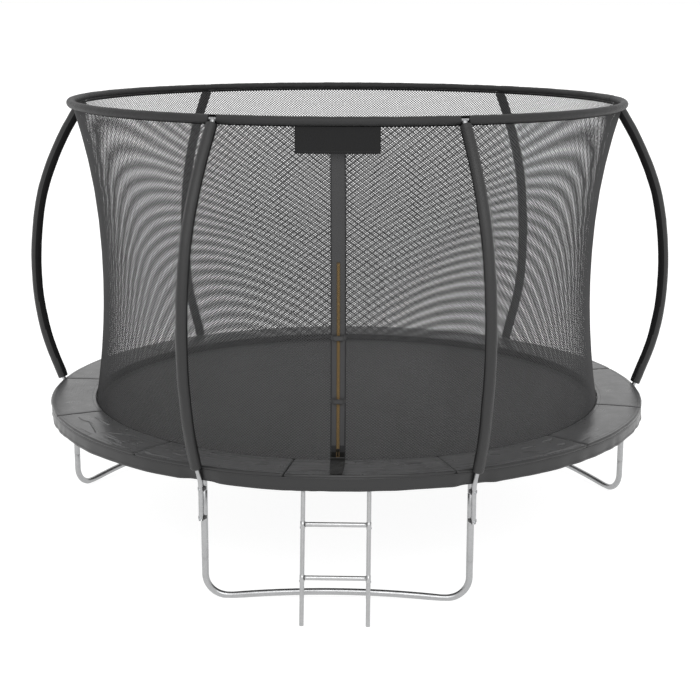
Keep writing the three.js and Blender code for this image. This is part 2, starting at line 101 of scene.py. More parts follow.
# ------------------------------------------------------------------ camera
def camera():
    f, th, psi, roll = 1504.9, 0.2271, 0.0025, 0.0033
    turn = rad(1.69)
    F = Vector((math.sin(psi) * math.cos(th), math.cos(psi) * math.cos(th), -math.sin(th)))
    R = Vector((math.cos(psi), -math.sin(psi), 0))
    U = R.cross(F)
    R2, U2 = R * math.cos(roll) + U * math.sin(roll), -R * math.sin(roll) + U * math.cos(roll)
    T = Matrix.Rotation(turn, 3, "Z")
    at = T @ Vector((-0.0023, -9.2924, 3.1513)) + Vector((0, CY, 0))
    cols = [T @ R2, T @ U2, -(T @ F)]
    m = Matrix(((cols[0][0], cols[1][0], cols[2][0], at[0]),
                (cols[0][1], cols[1][1], cols[2][1], at[1]),
                (cols[0][2], cols[1][2], cols[2][2], at[2]),
                (0, 0, 0, 1)))
    data = bpy.data.cameras.new("camera")
    data.sensor_width = 36
    data.lens = f / 700 * 36
    data.clip_start, data.clip_end = 0.1, 4000
    cam = bpy.data.objects.new("camera", data)
    bpy.context.scene.collection.objects.link(cam)
    cam.matrix_world = m
    bpy.context.scene.camera = cam


camera()


# ------------------------------------------------------------------ noise
class Noise:
    """Smooth seeded value noise in two dimensions, repeating every n cells along both."""

    def __init__(self, seed, n=256):
        self.n = n
        self.g = np.random.default_rng(seed).random((n, n)) * 2 - 1

    def at(self, x, y):
        xi, yi = np.floor(x).astype(int), np.floor(y).astype(int)
        fx, fy = x - xi, y - yi
        fx, fy = fx * fx * (3 - 2 * fx), fy * fy * (3 - 2 * fy)
        n, g = self.n, self.g
        a, b = g[xi % n, yi % n], g[(xi + 1) % n, yi % n]
        c, d = g[xi % n, (yi + 1) % n], g[(xi + 1) % n, (yi + 1) % n]
        return (a * (1 - fx) + b * fx) * (1 - fy) + (c * (1 - fx) + d * fx) * fy

    def fbm(self, x, y, octaves=3, gain=0.5):
        s, a = 0.0, 1.0
        for k in range(octaves):
            s = s + a * self.at(x * 2 ** k + 17.3 * k, y * 2 ** k + 9.1 * k)
            a *= gain
        return s


# ------------------------------------------------------------------ materials
def lin(c):
    return [(v / 12.92 if v <= 0.04045 else ((v + 0.055) / 1.055) ** 2.4) for v in c]


class Mat:
    def __init__(self, name, metallic=0.0, roughness=0.6, specular=0.5, sheen=0.0, sheen_rough=0.4, coat=0.0):
        self.m = bpy.data.materials.new(name)
        self.m.use_nodes = True
        self.nt = self.m.node_tree
        self.p = self.nt.nodes["Principled BSDF"]
        for key, v in (("Metallic", metallic), ("Roughness", roughness), ("Specular IOR Level", specular),
                       ("Sheen Weight", sheen), ("Sheen Roughness", sheen_rough), ("Coat Weight", coat)):
            self.p.inputs[key].default_value = v

    def node(self, kind, props=None, values=None, **links):
        n = self.nt.nodes.new("ShaderNode" + kind)
        for k, v in (props or {}).items():
            setattr(n, k, v)
        for k, v in (values or {}).items():
            n.inputs[k].default_value = v
        for k, v in links.items():
            self.nt.links.new(v, n.inputs[int(k[1:]) if k[0] == "_" else k])
        return n

    def link(self, out, key):
        self.nt.links.new(out, self.p.inputs[key])

    def coords(self, kind="Object"):
        if kind == "UV":
            n = self.node("UVMap")
            n.uv_map = "metres"
            return n.outputs[0]
        return self.node("TexCoord").outputs[kind]

    def scaled(self, vec, scale):
        n = self.node("Mapping", {}, {"Scale": scale})
        self.nt.links.new(vec, n.inputs["Vector"])
        return n.outputs[0]

    def noise(self, vec, scale, detail=2.0, rough=0.5, dims="3D"):
        n = self.node("TexNoise", {"noise_dimensions": dims}, {"Scale": scale, "Detail": detail, "Roughness": rough}, Vector=vec)
        return n.outputs["Fac"]

    def math(self, op, a, b=None, clamp=False):
        n = self.node("Math", {"operation": op, "use_clamp": clamp})
        for i, v in enumerate((a, b)):
            if v is None:
                continue
            if isinstance(v, (int, float)):
                n.inputs[i].default_value = v
            else:
                self.nt.links.new(v, n.inputs[i])
        return n.outputs[0]

    def remap(self, v, a, b, c, d):
        n = self.node("MapRange", {"clamp": True}, {"From Min": a, "From Max": b, "To Min": c, "To Max": d}, Value=v)
        return n.outputs[0]

    def mix(self, fac, a, b):
        n = self.node("Mix", {"data_type": "RGBA"})
        if isinstance(fac, (int, float)):
            n.inputs[0].default_value = fac
        else:
            self.nt.links.new(fac, n.inputs[0])
        for i, v in ((6, a), (7, b)):
            if isinstance(v, (list, tuple)):
                n.inputs[i].default_value = (*v[:3], 1)
            else:
                self.nt.links.new(v, n.inputs[i])
        return n.outputs[2]

    def bump(self, height, distance, strength=1.0, after=None):
        n = self.node("Bump", {}, {"Distance": distance, "Strength": strength}, Height=height)
        if after is not None:
            self.nt.links.new(after, n.inputs["Normal"])
        return n.outputs[0]

    def split(self, vec):
        n = self.node("SeparateXYZ", {}, {}, Vector=vec)
        return n.outputs[0], n.outputs[1], n.outputs[2]

    def weave(self, u, v, pitch_u, pitch_v):
        """Height of a plain weave, from 0 in the gaps to 1 on the yarns."""
        a = self.math("SINE", self.math("MULTIPLY", u, pi / pitch_u))
        b = self.math("SINE", self.math("MULTIPLY", v, pi / pitch_v))
        over = self.math("GREATER_THAN", self.math("MULTIPLY", a, b), 0.0)
        aa, bb = self.math("ABSOLUTE", a), self.math("ABSOLUTE", b)
        one = self.math("MULTIPLY", aa, over)
        two = self.math("MULTIPLY", bb, self.math("SUBTRACT", 1.0, over))
        return self.math("ADD", one, two)


def shade(c, k):
    return [min(1.0, max(0.0, v * k)) for v in c]


def steel(name, base, rough, spangle=70):
    m = Mat(name, metallic=1.0, roughness=rough)
    co = m.coords()
    cells = m.node("TexVoronoi", {}, {"Scale": spangle, "Randomness": 1.0}, Vector=co)
    grey = m.node("SeparateColor", {}, {}, Color=cells.outputs["Color"]).outputs[0]
    cloud = m.noise(co, 9.0, 3.0)
    f = m.math("ADD", m.math("MULTIPLY", grey, 0.35), m.math("MULTIPLY", cloud, 0.65))
    m.link(m.mix(f, shade(base, 0.90), shade(base, 1.08)), "Base Color")
    m.link(m.remap(m.noise(co, 34.0, 4.0, 0.6), 0.3, 0.7, rough - 0.05, rough + 0.06), "Roughness")
    m.link(m.bump(m.noise(co, 700.0, 2.0), 0.00012, 0.35), "Normal")
    return m.m


def cloth(name, base, pitch=0.0016, rough=0.78, sheen=0.15, coords="UV", gap=0.72, depth=0.00022, vary=0.10, spec=0.35):
    m = Mat(name, roughness=rough, specular=spec, sheen=sheen, sheen_rough=0.45)
    co = m.coords(coords)
    u, v, _ = m.split(co)
    h = m.weave(u, v, pitch, pitch)
    big = m.noise(m.coords(), 5.0, 4.0, 0.6)
    fuzz = m.noise(m.coords(), 900.0, 1.0)
    tone = m.mix(m.remap(big, 0.25, 0.75, 0, 1), shade(base, 1 - vary), shade(base, 1 + vary))
    deep = m.mix(1.0, tone, tone)
    # the weave's gaps are painted darker than the yarns: painted shade in the hollows between yarns, over a random tone
    dark = m.node("Mix", {"data_type": "RGBA", "blend_type": "MULTIPLY"}, {0: 1.0})
    m.nt.links.new(deep, dark.inputs[6])
    m.nt.links.new(m.mix(m.remap(h, 0.05, 0.6, 0, 1), [gap] * 3, [1.06] * 3), dark.inputs[7])
    m.link(dark.outputs[2], "Base Color")
    m.link(m.remap(m.math("ADD", m.math("MULTIPLY", big, 0.5), m.math("MULTIPLY", fuzz, 0.5)), 0.3, 0.7, rough - 0.07, rough + 0.08), "Roughness")
    n = m.bump(fuzz, 0.0001, 0.3)
    m.link(m.bump(h, depth, 0.8, n), "Normal")
    return m.m


def webbing(name, base, rib=0.0022, rough=0.75, across="v", vary=0.08, spec=0.4):
    """Flat woven tape: ribs across its length and fine yarns along it."""
    m = Mat(name, roughness=rough, specular=spec, sheen=0.12, sheen_rough=0.4)
    u, v, _ = m.split(m.coords("UV"))
    if across == "u":
        u, v = v, u
    ribs = m.math("ABSOLUTE", m.math("SINE", m.math("MULTIPLY", v, pi / rib)))
    yarn = m.math("ABSOLUTE", m.math("SINE", m.math("ADD", m.math("MULTIPLY", u, pi / 0.0012), m.math("MULTIPLY", v, pi / rib))))
    h = m.math("ADD", m.math("MULTIPLY", ribs, 0.7), m.math("MULTIPLY", yarn, 0.3))
    big = m.noise(m.coords(), 11.0, 3.0)
    f = m.math("ADD", m.math("MULTIPLY", h, 0.5), m.math("MULTIPLY", big, 0.5))
    # the rib hollows are painted darker, mixed with a random tone: painted shade in the weave's hollows
    m.link(m.mix(m.remap(f, 0.2, 0.85, 0, 1), shade(base, 1 - 3 * vary), shade(base, 1 + vary)), "Base Color")
    m.link(m.remap(big, 0.3, 0.7, rough - 0.08, rough + 0.06), "Roughness")
    m.link(m.bump(h, 0.0003, 0.9), "Normal")
    return m.m


def coated(name, base, rough=0.48, vary=0.08, spec=0.5):
    """Coated pad cover: a fine grain, faint base weave and soft sheen."""
    m = Mat(name, roughness=rough, specular=spec, sheen=0.05)
    co = m.coords()
    u, v, _ = m.split(m.coords("UV"))
    weave = m.weave(u, v, 0.0013, 0.0013)
    big = m.noise(co, 3.2, 4.0, 0.6)
    grain = m.node("TexVoronoi", {"feature": "DISTANCE_TO_EDGE"}, {"Scale": 520.0}, Vector=co).outputs["Distance"]
    scuff = m.noise(m.scaled(co, (6, 6, 30)), 2.0, 5.0, 0.7)
    f = m.math("ADD", m.math("MULTIPLY", big, 0.7), m.math("MULTIPLY", scuff, 0.3))
    m.link(m.mix(m.remap(f, 0.3, 0.7, 0, 1), shade(base, 1 - vary), shade(base, 1 + vary)), "Base Color")
    m.link(m.remap(scuff, 0.25, 0.75, rough - 0.05, rough + 0.06), "Roughness")
    n = m.bump(m.noise(co, 42.0, 3.0, 0.5), 0.0004, 0.25)
    n = m.bump(weave, 0.00006, 0.4, n)
    m.link(m.bump(grain, 0.00007, 0.3, n), "Normal")
    return m.m


def plastic(name, base, rough=0.45, vary=0.06):
    m = Mat(name, roughness=rough, specular=0.5)
    co = m.coords()
    m.link(m.mix(m.noise(co, 60.0, 3.0), shade(base, 1 - vary), shade(base, 1 + vary)), "Base Color")
    m.link(m.remap(m.noise(co, 180.0, 3.0), 0.3, 0.7, rough - 0.05, rough + 0.08), "Roughness")
    m.link(m.bump(m.noise(co, 1500.0, 1.0), 0.00005, 0.5), "Normal")
    return m.m


def strand(name, base):
    """Knotted net yarn: fine twist and small differences from yarn to yarn."""
    m = Mat(name, roughness=0.72, specular=0.35)
    co = m.coords()
    twist = m.noise(m.scaled(co, (1, 1, 3)), 420.0, 1.0)
    big = m.noise(co, 2.6, 3.0)
    f = m.math("ADD", m.math("MULTIPLY", twist, 0.5), m.math("MULTIPLY", big, 0.5))
    m.link(m.mix(m.remap(f, 0.3, 0.7, 0, 1), shade(base, 0.8), shade(base, 1.2)), "Base Color")
    m.link(m.remap(twist, 0.3, 0.7, 0.62, 0.82), "Roughness")
    return m.m


GALV = (0.385, 0.388, 0.392)
M_TUBE = steel("galvanised_tube", GALV, 0.30)
M_LADDER = steel("ladder_steel", (0.42, 0.422, 0.425), 0.32)
M_TEE = steel("hoop_fitting_steel", (0.41, 0.415, 0.42), 0.50)
M_SPRING = steel("spring_wire", (0.50, 0.505, 0.51), 0.28, 200)
M_BOLT = steel("zinc_bolt", (0.40, 0.41, 0.42), 0.30, 300)
M_ZINC = steel("zip_metal", (0.050, 0.046, 0.040), 0.38, 500)
M_SLEEVE = cloth("sleeve_cover", (0.009, 0.009, 0.0092), 0.0016, 0.46, 0.03, spec=0.5)
# dark cloth used as painted shade on the sleeves' unlit sides and inside the hem's cut-away
M_SLEEVE_SHADE = cloth("sleeve_painted_shade", (0.0085, 0.0085, 0.0088), 0.0016, 0.80, 0.0, spec=0.15)
M_HEM = cloth("hoop_hem_cloth", (0.023, 0.023, 0.0234), 0.0016, 0.50, 0.0, spec=0.22)
M_NET = strand("net_yarn", (0.047, 0.047, 0.048))
M_PAD = coated("pad_cover", (0.046, 0.046, 0.047), 0.30, 0.05)
M_SKIRT = coated("pad_skirt", (0.009, 0.009, 0.0093), 0.34, 0.05)
M_MAT = cloth("jump_mat_weave", (0.070, 0.070, 0.070), 0.0034, 0.66, 0.03, "Object", 0.86, 0.0002, 0.05, 0.3)
M_BAND = webbing("mat_edge_webbing", (0.020, 0.020, 0.021))
M_TAPE = webbing("net_tape", (0.005, 0.005, 0.0052), spec=0.06)
M_STRIP = webbing("door_webbing", (0.036, 0.036, 0.037), 0.0020, 0.72, "v")
# darker edge colour of the door strip, also painted shade on the strip's lower end
M_STRIP_EDGE_AND_SHADE = webbing("door_strip_edge_and_shade", (0.017, 0.017, 0.018), 0.0020, 0.72, "v", spec=0.2)
M_STRAP = webbing("strap_webbing", (0.036, 0.036, 0.0365), 0.0024, 0.72, "u")
# darker strap colour, painted shade along the straps' top and bottom rows
M_STRAP_SHADE = webbing("strap_painted_shade", (0.018, 0.018, 0.018), 0.0024, 0.75, "u")
# black tail cloth, also painted shade on the door strip's lowest rows
M_TAIL_CLOTH_AND_SHADE = webbing("door_tail_cloth_and_shade", (0.005, 0.005, 0.0045), 0.0020, 0.8, "v", spec=0.12)
M_THREAD = plastic("sewing_thread", (0.030, 0.030, 0.031), 0.6)
M_ZIP = plastic("zip_coil_plastic", (0.17, 0.105, 0.032), 0.60, 0.25)
M_BANNER = cloth("banner_cloth", (0.010, 0.010, 0.0103), 0.0010, 0.62, 0.0, spec=0.15)
M_BLACK = plastic("black_plastic", (0.018, 0.018, 0.019), 0.5)
M_RUBBER = plastic("grey_cap_plastic", (0.18, 0.18, 0.18), 0.6)


# ------------------------------------------------------------------ mesh making
def make(name, V, F, mat, body="frame", slot=None, uv=None, smooth=True, index=None, ride=True):
    """A mesh object from points, arrays of quads and triangles, and a UV in metres for each corner."""
    mats = mat if isinstance(mat, (list, tuple)) else [mat]
    V = np.asarray(V, float).reshape(-1, 3)
    F = [np.asarray(f, int) for f in F if len(f)]
    me = bpy.data.meshes.new(name)
    me.vertices.add(len(V))
    me.vertices.foreach_set("co", V.astype(np.float32).ravel())
    loops = np.concatenate([f.ravel() for f in F]).astype(np.int32)
    me.loops.add(len(loops))
    me.loops.foreach_set("vertex_index", loops)
    sizes = np.concatenate([np.full(len(f), f.shape[1]) for f in F])
    starts = np.concatenate([[0], np.cumsum(sizes)[:-1]]).astype(np.int32)
    me.polygons.add(len(sizes))
    me.polygons.foreach_set("loop_start", starts)
    if index is not None:
        me.polygons.foreach_set("material_index", np.asarray(index, np.int32))
    me.update(calc_edges=True)
    layer = me.uv_layers.new(name="metres")
    if uv is None:
        p = V[loops]
        uv = np.stack([np.arctan2(p[:, 0], -(p[:, 1] - CY)) * 1.6 + 0.3 * p[:, 2], p[:, 2] + np.hypot(p[:, 0], p[:, 1])], 1)
    layer.data.foreach_set("uv", np.asarray(uv, np.float32).ravel())
    me.polygons.foreach_set("use_smooth", np.full(len(sizes), bool(smooth)))
    for m in mats:
        me.materials.append(m)
    ob = bpy.data.objects.new(name, me)
    bpy.context.scene.collection.objects.link(ob)
    if ride:
        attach(ob, body)
    return ob


class Parts:
    """Gathers several shapes into one mesh."""

    def __init__(self):
        self.V, self.F4, self.F3, self.U4, self.U3, self.I4, self.I3, self.n = [], [], [], [], [], [], [], 0

    def add(self, V, quads=None, tris=None, uvq=None, uvt=None, mat=0):
        V = np.asarray(V, float).reshape(-1, 3)
        self.V.append(V)
        for f, u, FF, UU, II, k in ((quads, uvq, self.F4, self.U4, self.I4, 4), (tris, uvt, self.F3, self.U3, self.I3, 3)):
            if f is None or not len(f):
                continue
            f = np.asarray(f, int)
            FF.append(f + self.n)
            if u is None:
                p = V[f.ravel()]
                u = np.stack([p[:, 0] + 0.37 * p[:, 1], p[:, 2] + 0.61 * p[:, 1]], 1)
            UU.append(np.asarray(u, float).reshape(-1, 2))
            II.append(np.full(len(f), mat))
        self.n += len(V)
        return self

    def build(self, name, mat, **kw):
        F, U, I = [], [], []
        if self.F4:
            F.append(np.concatenate(self.F4)); U += self.U4; I += self.I4
        if self.F3:
            F.append(np.concatenate(self.F3)); U += self.U3; I += self.I3
        return make(name, np.concatenate(self.V), F, mat, uv=np.concatenate(U), index=np.concatenate(I), **kw)


def grid_faces(n, m, wrap=False, flip=False):
    """Quads of an n by m grid of points, and each corner's row and column."""
    mm = m if wrap else m - 1
    i, j = np.meshgrid(np.arange(n - 1), np.arange(mm), indexing="ij")
    i, j = i.ravel(), j.ravel()
    j2 = (j + 1) % m if wrap else j + 1
    q = np.stack([i * m + j, (i + 1) * m + j, (i + 1) * m + j2, i * m + j2], 1)
    ci = np.stack([i, i + 1, i + 1, i], 1)
    cj = np.stack([j, j, j + 1, j + 1], 1)
    if flip:
        q, ci, cj = q[:, ::-1], ci[:, ::-1], cj[:, ::-1]
    return q, ci.ravel(), cj.ravel()


def frames(C, up):
    """Tangent, and two directions across, along a path; up is the wanted first direction across."""
    C = np.asarray(C, float)
    T = np.gradient(C, axis=0)
    T /= np.linalg.norm(T, axis=1)[:, None]
    up = np.broadcast_to(np.asarray(up, float), C.shape)
    N = up - (up * T).sum(1)[:, None] * T
    N /= np.linalg.norm(N, axis=1)[:, None]
    return T, N, np.cross(T, N)


def lengths(C):
    return np.concatenate([[0], np.cumsum(np.linalg.norm(np.diff(C, axis=0), axis=1))])


def round_ends(C, R, fillet, steps=4, ends=(True, True)):
    """Adds rings at the ends of a swept tube, so that its rim is rounded."""
    C, R = np.asarray(C, float), np.broadcast_to(np.asarray(R, float), (len(C),)).copy()
    t0, t1 = C[0] - C[1], C[-1] - C[-2]
    t0, t1 = t0 / np.linalg.norm(t0), t1 / np.linalg.norm(t1)
    a = np.linspace(0, pi / 2, steps + 1)[1:]
    if ends[0]:
        C = np.concatenate([(C[0] + np.outer(fillet * np.sin(a) - fillet, t0))[::-1], C[1:]]) if False else \
            np.concatenate([(C[0] - fillet * t0 + np.outer(fillet * np.sin(a), t0))[::-1], [C[0] - fillet * t0], C[1:]])
        R = np.concatenate([(R[0] - fillet + fillet * np.cos(a))[::-1], [R[0]], R[1:]])
    if ends[1]:
        C = np.concatenate([C[:-1], [C[-1] - fillet * t1], C[-1] - fillet * t1 + np.outer(fillet * np.sin(a), t1)])
        R = np.concatenate([R[:-1], [R[-1]], R[-1] - fillet + fillet * np.cos(a)])
    return C, R


def sweep(parts, C, R, up, sides=24, caps=("flat", "flat"), mat=0, T=None, scale_uv=1.0, flat=None):
    """A tube along C. R is one radius, one for each point, or one for each point and side."""
    C = np.asarray(C, float)
    n = len(C)
    if T is None:
        Tt, N, B = frames(C, up)
    else:
        T = np.asarray(T, float)
        Tt = T / np.linalg.norm(T, axis=1)[:, None]
        N = np.broadcast_to(np.asarray(up, float), C.shape)
        N = N - (N * Tt).sum(1)[:, None] * Tt
        N = N / np.linalg.norm(N, axis=1)[:, None]
        B = np.cross(Tt, N)
    R = np.asarray(R, float)
    if R.ndim == 0:
        R = np.full((n, sides), float(R))
    elif R.ndim == 1:
        R = np.repeat(R[:, None], sides, 1)
    phi = 2 * pi * np.arange(sides) / sides
    V = C[:, None] + R[..., None] * (np.cos(phi)[None, :, None] * N[:, None] + np.sin(phi)[None, :, None] * B[:, None])
    q, ci, cj = grid_faces(n, sides, wrap=True, flip=True)
    s = lengths(C)
    mean = float(R.mean())
    uv = np.stack([s[ci], cj * 2 * pi * mean / sides], 1) * scale_uv
    V = V.reshape(-1, 3)
    tris, extra = [], []
    base = n * sides
    for k, (cap, row, sign) in enumerate(((caps[0], 0, 1), (caps[1], n - 1, -1))):
        if cap is None:
            continue
        ring = np.arange(row * sides, row * sides + sides)
        nxt = np.roll(ring, -1)
        inward = Tt[row] * sign
        if cap == "hollow":
            r0 = R[row].mean()
            wall, deep = min(0.0016, r0 * 0.25), r0 * 1.4
            rings = []
            for rr, dd in ((r0 - wall, 0.0), (r0 - wall, deep)):
                pts = C[row] + dd * inward + rr * (np.cos(phi)[:, None] * N[row] + np.sin(phi)[:, None] * B[row])
                extra.append(pts)
                rings.append(base + np.arange(sides))
                base += sides
            for a, b in ((ring, rings[0]), (rings[0], rings[1])):
                quad = np.stack([a, np.roll(a, -1), np.roll(b, -1), b], 1)
                if sign < 0:
                    quad = quad[:, ::-1]
                q = np.concatenate([q, quad])
                uv = np.concatenate([uv, np.zeros((4 * sides, 2)) + s[row]])
            ring, nxt, centre = rings[1], np.roll(rings[1], -1), C[row] + deep * inward
        else:
            centre = C[row]
        extra.append(centre[None])
        tri = np.stack([ring, nxt, np.full(sides, base)], 1)
        if sign < 0:
            tri = tri[:, ::-1]
        tris.append(tri)
        base += 1
    if extra:
        V = np.concatenate([V] + [np.asarray(e).reshape(-1, 3) for e in extra])
    parts.add(V, q, np.concatenate(tris) if tris else None, uv, None, mat)
    return parts


def block(parts, outline, depth, M, bevel=0.0, mat=0):
    """A prism with an outline in the local XY plane, extruded along local Z, its rims chamfered, placed by the 4x4 M."""
    o = np.asarray(outline, float)
    n = len(o)
    area = 0.5 * np.sum(o[:, 0] * np.roll(o[:, 1], -1) - np.roll(o[:, 0], -1) * o[:, 1])
    if area < 0:
        o = o[::-1]
    e = np.roll(o, -1, 0) - o
    nrm = np.stack([e[:, 1], -e[:, 0]], 1) / np.maximum(np.linalg.norm(e, axis=1), 1e-12)[:, None]
    vn = nrm + np.roll(nrm, 1, 0)
    vn = vn / np.maximum((vn * nrm).sum(1), 0.3)[:, None]
    rows = []
    z0, z1 = (0.0, depth) if np.isscalar(depth) else depth
    if bevel > 0:
        steps = ((z0, bevel), (z0 + 0.3 * bevel, 0.3 * bevel), (z0 + bevel, 0), (z1 - bevel, 0), (z1 - 0.3 * bevel, 0.3 * bevel), (z1, bevel))
    else:
        steps = ((z0, 0), (z1, 0))
    for z, inset in steps:
        p = o - vn * inset
        rows.append(np.concatenate([p, np.full((n, 1), z)], 1))
    V = np.concatenate(rows)
    q, ci, cj = grid_faces(len(rows), n, wrap=True, flip=True)
    lo, hi = 0, (len(rows) - 1) * n
    c0, c1 = rows[0].mean(0), rows[-1].mean(0)
    V = np.concatenate([V, [c0, c1]])
    k = len(rows) * n
    ring = np.arange(n)
    t0 = np.stack([lo + np.roll(ring, -1), lo + ring, np.full(n, k)], 1)
    t1 = np.stack([hi + ring, hi + np.roll(ring, -1), np.full(n, k + 1)], 1)
    M = np.asarray(M, float)
    W = V @ M[:3, :3].T + M[:3, 3]
    if np.linalg.det(M[:3, :3]) < 0:
        q, t0, t1 = q[:, ::-1], t0[:, ::-1], t1[:, ::-1]
    uv = V[q.ravel()][:, [0, 2]] + V[q.ravel()][:, [1, 1]]
    tt = np.concatenate([t0, t1])
    parts.add(W, q, tt, uv, V[tt.ravel()][:, :2], mat)
    return parts


def placed(at, x, y, z):
    m = np.eye(4)
    for k, a in enumerate((x, y, z)):
        a = np.asarray(a, float)
        m[:3, k] = a / np.linalg.norm(a)
    m[:3, 3] = at
    return m


def slab(parts, top, under, flip=False, mat=0, uv=None):
    """A closed sheet between two grids of points, each n by m by 3."""
    top, under = np.asarray(top, float), np.asarray(under, float)
    n, m = top.shape[:2]
    V = np.concatenate([top.reshape(-1, 3), under.reshape(-1, 3)])
    q, ci, cj = grid_faces(n, m, flip=flip)
    k = n * m
    q2 = q[:, ::-1] + k
    e = []
    a = np.arange(n - 1)
    b = np.arange(m - 1)
    for s0, s1 in ((a * m, (a + 1) * m),):
        e.append(np.stack([s0, s0 + k, s1 + k, s1], 1))
    for s0, s1 in ((a * m + m - 1, (a + 1) * m + m - 1),):
        e.append(np.stack([s1, s1 + k, s0 + k, s0], 1))
    e.append(np.stack([b + 1, b + 1 + k, b + k, b], 1))
    e.append(np.stack([(n - 1) * m + b, (n - 1) * m + b + k, (n - 1) * m + b + 1 + k, (n - 1) * m + b + 1], 1))
    e = np.concatenate(e)
    if flip:
        e = e[:, ::-1]
    if uv is None:
        du = np.concatenate([[0], np.cumsum(np.linalg.norm(np.diff(top[:, m // 2], axis=0), axis=1))])
        dv = np.concatenate([[0], np.cumsum(np.linalg.norm(np.diff(top[n // 2], axis=0), axis=1))])
    else:
        du, dv = uv
    uvq = np.stack([du[ci], dv[cj]], 1)
    rev = uvq.reshape(-1, 4, 2)[:, ::-1].reshape(-1, 2)
    parts.add(V, np.concatenate([q, q2, e]), None, np.concatenate([uvq, rev, np.zeros((len(e) * 4, 2))]), None, mat)
    return parts


def stitches(parts, C, N, length=0.005, gap=0.003, r=0.0005, lift=0.0002, mat=0, width=1.3):
    """A row of sewing stitches along C; N is the direction out of the cloth."""
    C, N = np.asarray(C, float), np.broadcast_to(np.asarray(N, float), np.shape(C))
    s = lengths(C)
    count = int(s[-1] / (length + gap))
    if count < 1:
        return parts
    starts = (np.arange(count) + 0.25) * (length + gap)
    f = np.array([0, 0.12, 0.5, 0.88, 1.0])
    h = np.array([-0.6, 0.5, 1.0, 0.5, -0.6]) * r + lift
    at = starts[:, None] + f[None] * length
    Pp = np.stack([np.interp(at, s, C[:, k]) for k in range(3)], -1)
    Nn = np.stack([np.interp(at, s, N[:, k]) for k in range(3)], -1)
    Nn /= np.linalg.norm(Nn, axis=-1)[..., None]
    Tt = Pp[:, -1] - Pp[:, 0]
    Tt /= np.linalg.norm(Tt, axis=-1)[:, None]
    side = np.cross(Tt[:, None], Nn)
    ctr = Pp + Nn * h[None, :, None]
    rr = r * np.array([0.6, 1, 1, 1, 0.6])[None, :, None]
    ring = [ctr + side * rr * width, ctr + Nn * rr, ctr - side * rr * width, ctr - Nn * rr]
    V = np.stack(ring, 2)  # count, 5, 4, 3
    q, ci, cj = grid_faces(5, 4, wrap=True)
    caps = np.array([[0, 1, 2, 3], [19, 18, 17, 16]])
    one = np.concatenate([q, caps])
    Q = (one[None] + 20 * np.arange(count)[:, None, None]).reshape(-1, 4)
    parts.add(V.reshape(-1, 3), Q, None, None, None, mat)
    return parts


def smooth_path(points, n, tension=0.5):
    """n points evenly spaced on a smooth curve through the given ones."""
    p = np.asarray(points, float)
    p = np.concatenate([[2 * p[0] - p[1]], p, [2 * p[-1] - p[-2]]])
    out = []
    for i in range(1, len(p) - 2):
        a, b, c, d = p[i - 1:i + 3]
        t = np.linspace(0, 1, 24, endpoint=False)[:, None]
        m1, m2 = tension * (c - a), tension * (d - b)
        out.append((2 * t ** 3 - 3 * t ** 2 + 1) * b + (t ** 3 - 2 * t ** 2 + t) * m1 + (-2 * t ** 3 + 3 * t ** 2) * c + (t ** 3 - t ** 2) * m2)
    out = np.concatenate(out + [p[-2:-1]])
    s = lengths(out)
    w = np.linspace(0, s[-1], n)
    return np.stack([np.interp(w, s, out[:, k]) for k in range(out.shape[1])], 1)


def radial(az):
    a = rad(az)
    return np.array([math.sin(a), -math.cos(a), 0.0])


def around(az):
    a = rad(az)
    return np.array([math.cos(a), math.sin(a), 0.0])


UP = np.array([0, 0, 1.0])


def arc(r, z, a0, a1, step=1.0):
    az = np.linspace(a0, a1, max(3, int(abs(a1 - a0) / step) + 1))
    return pol(r, az, z), az


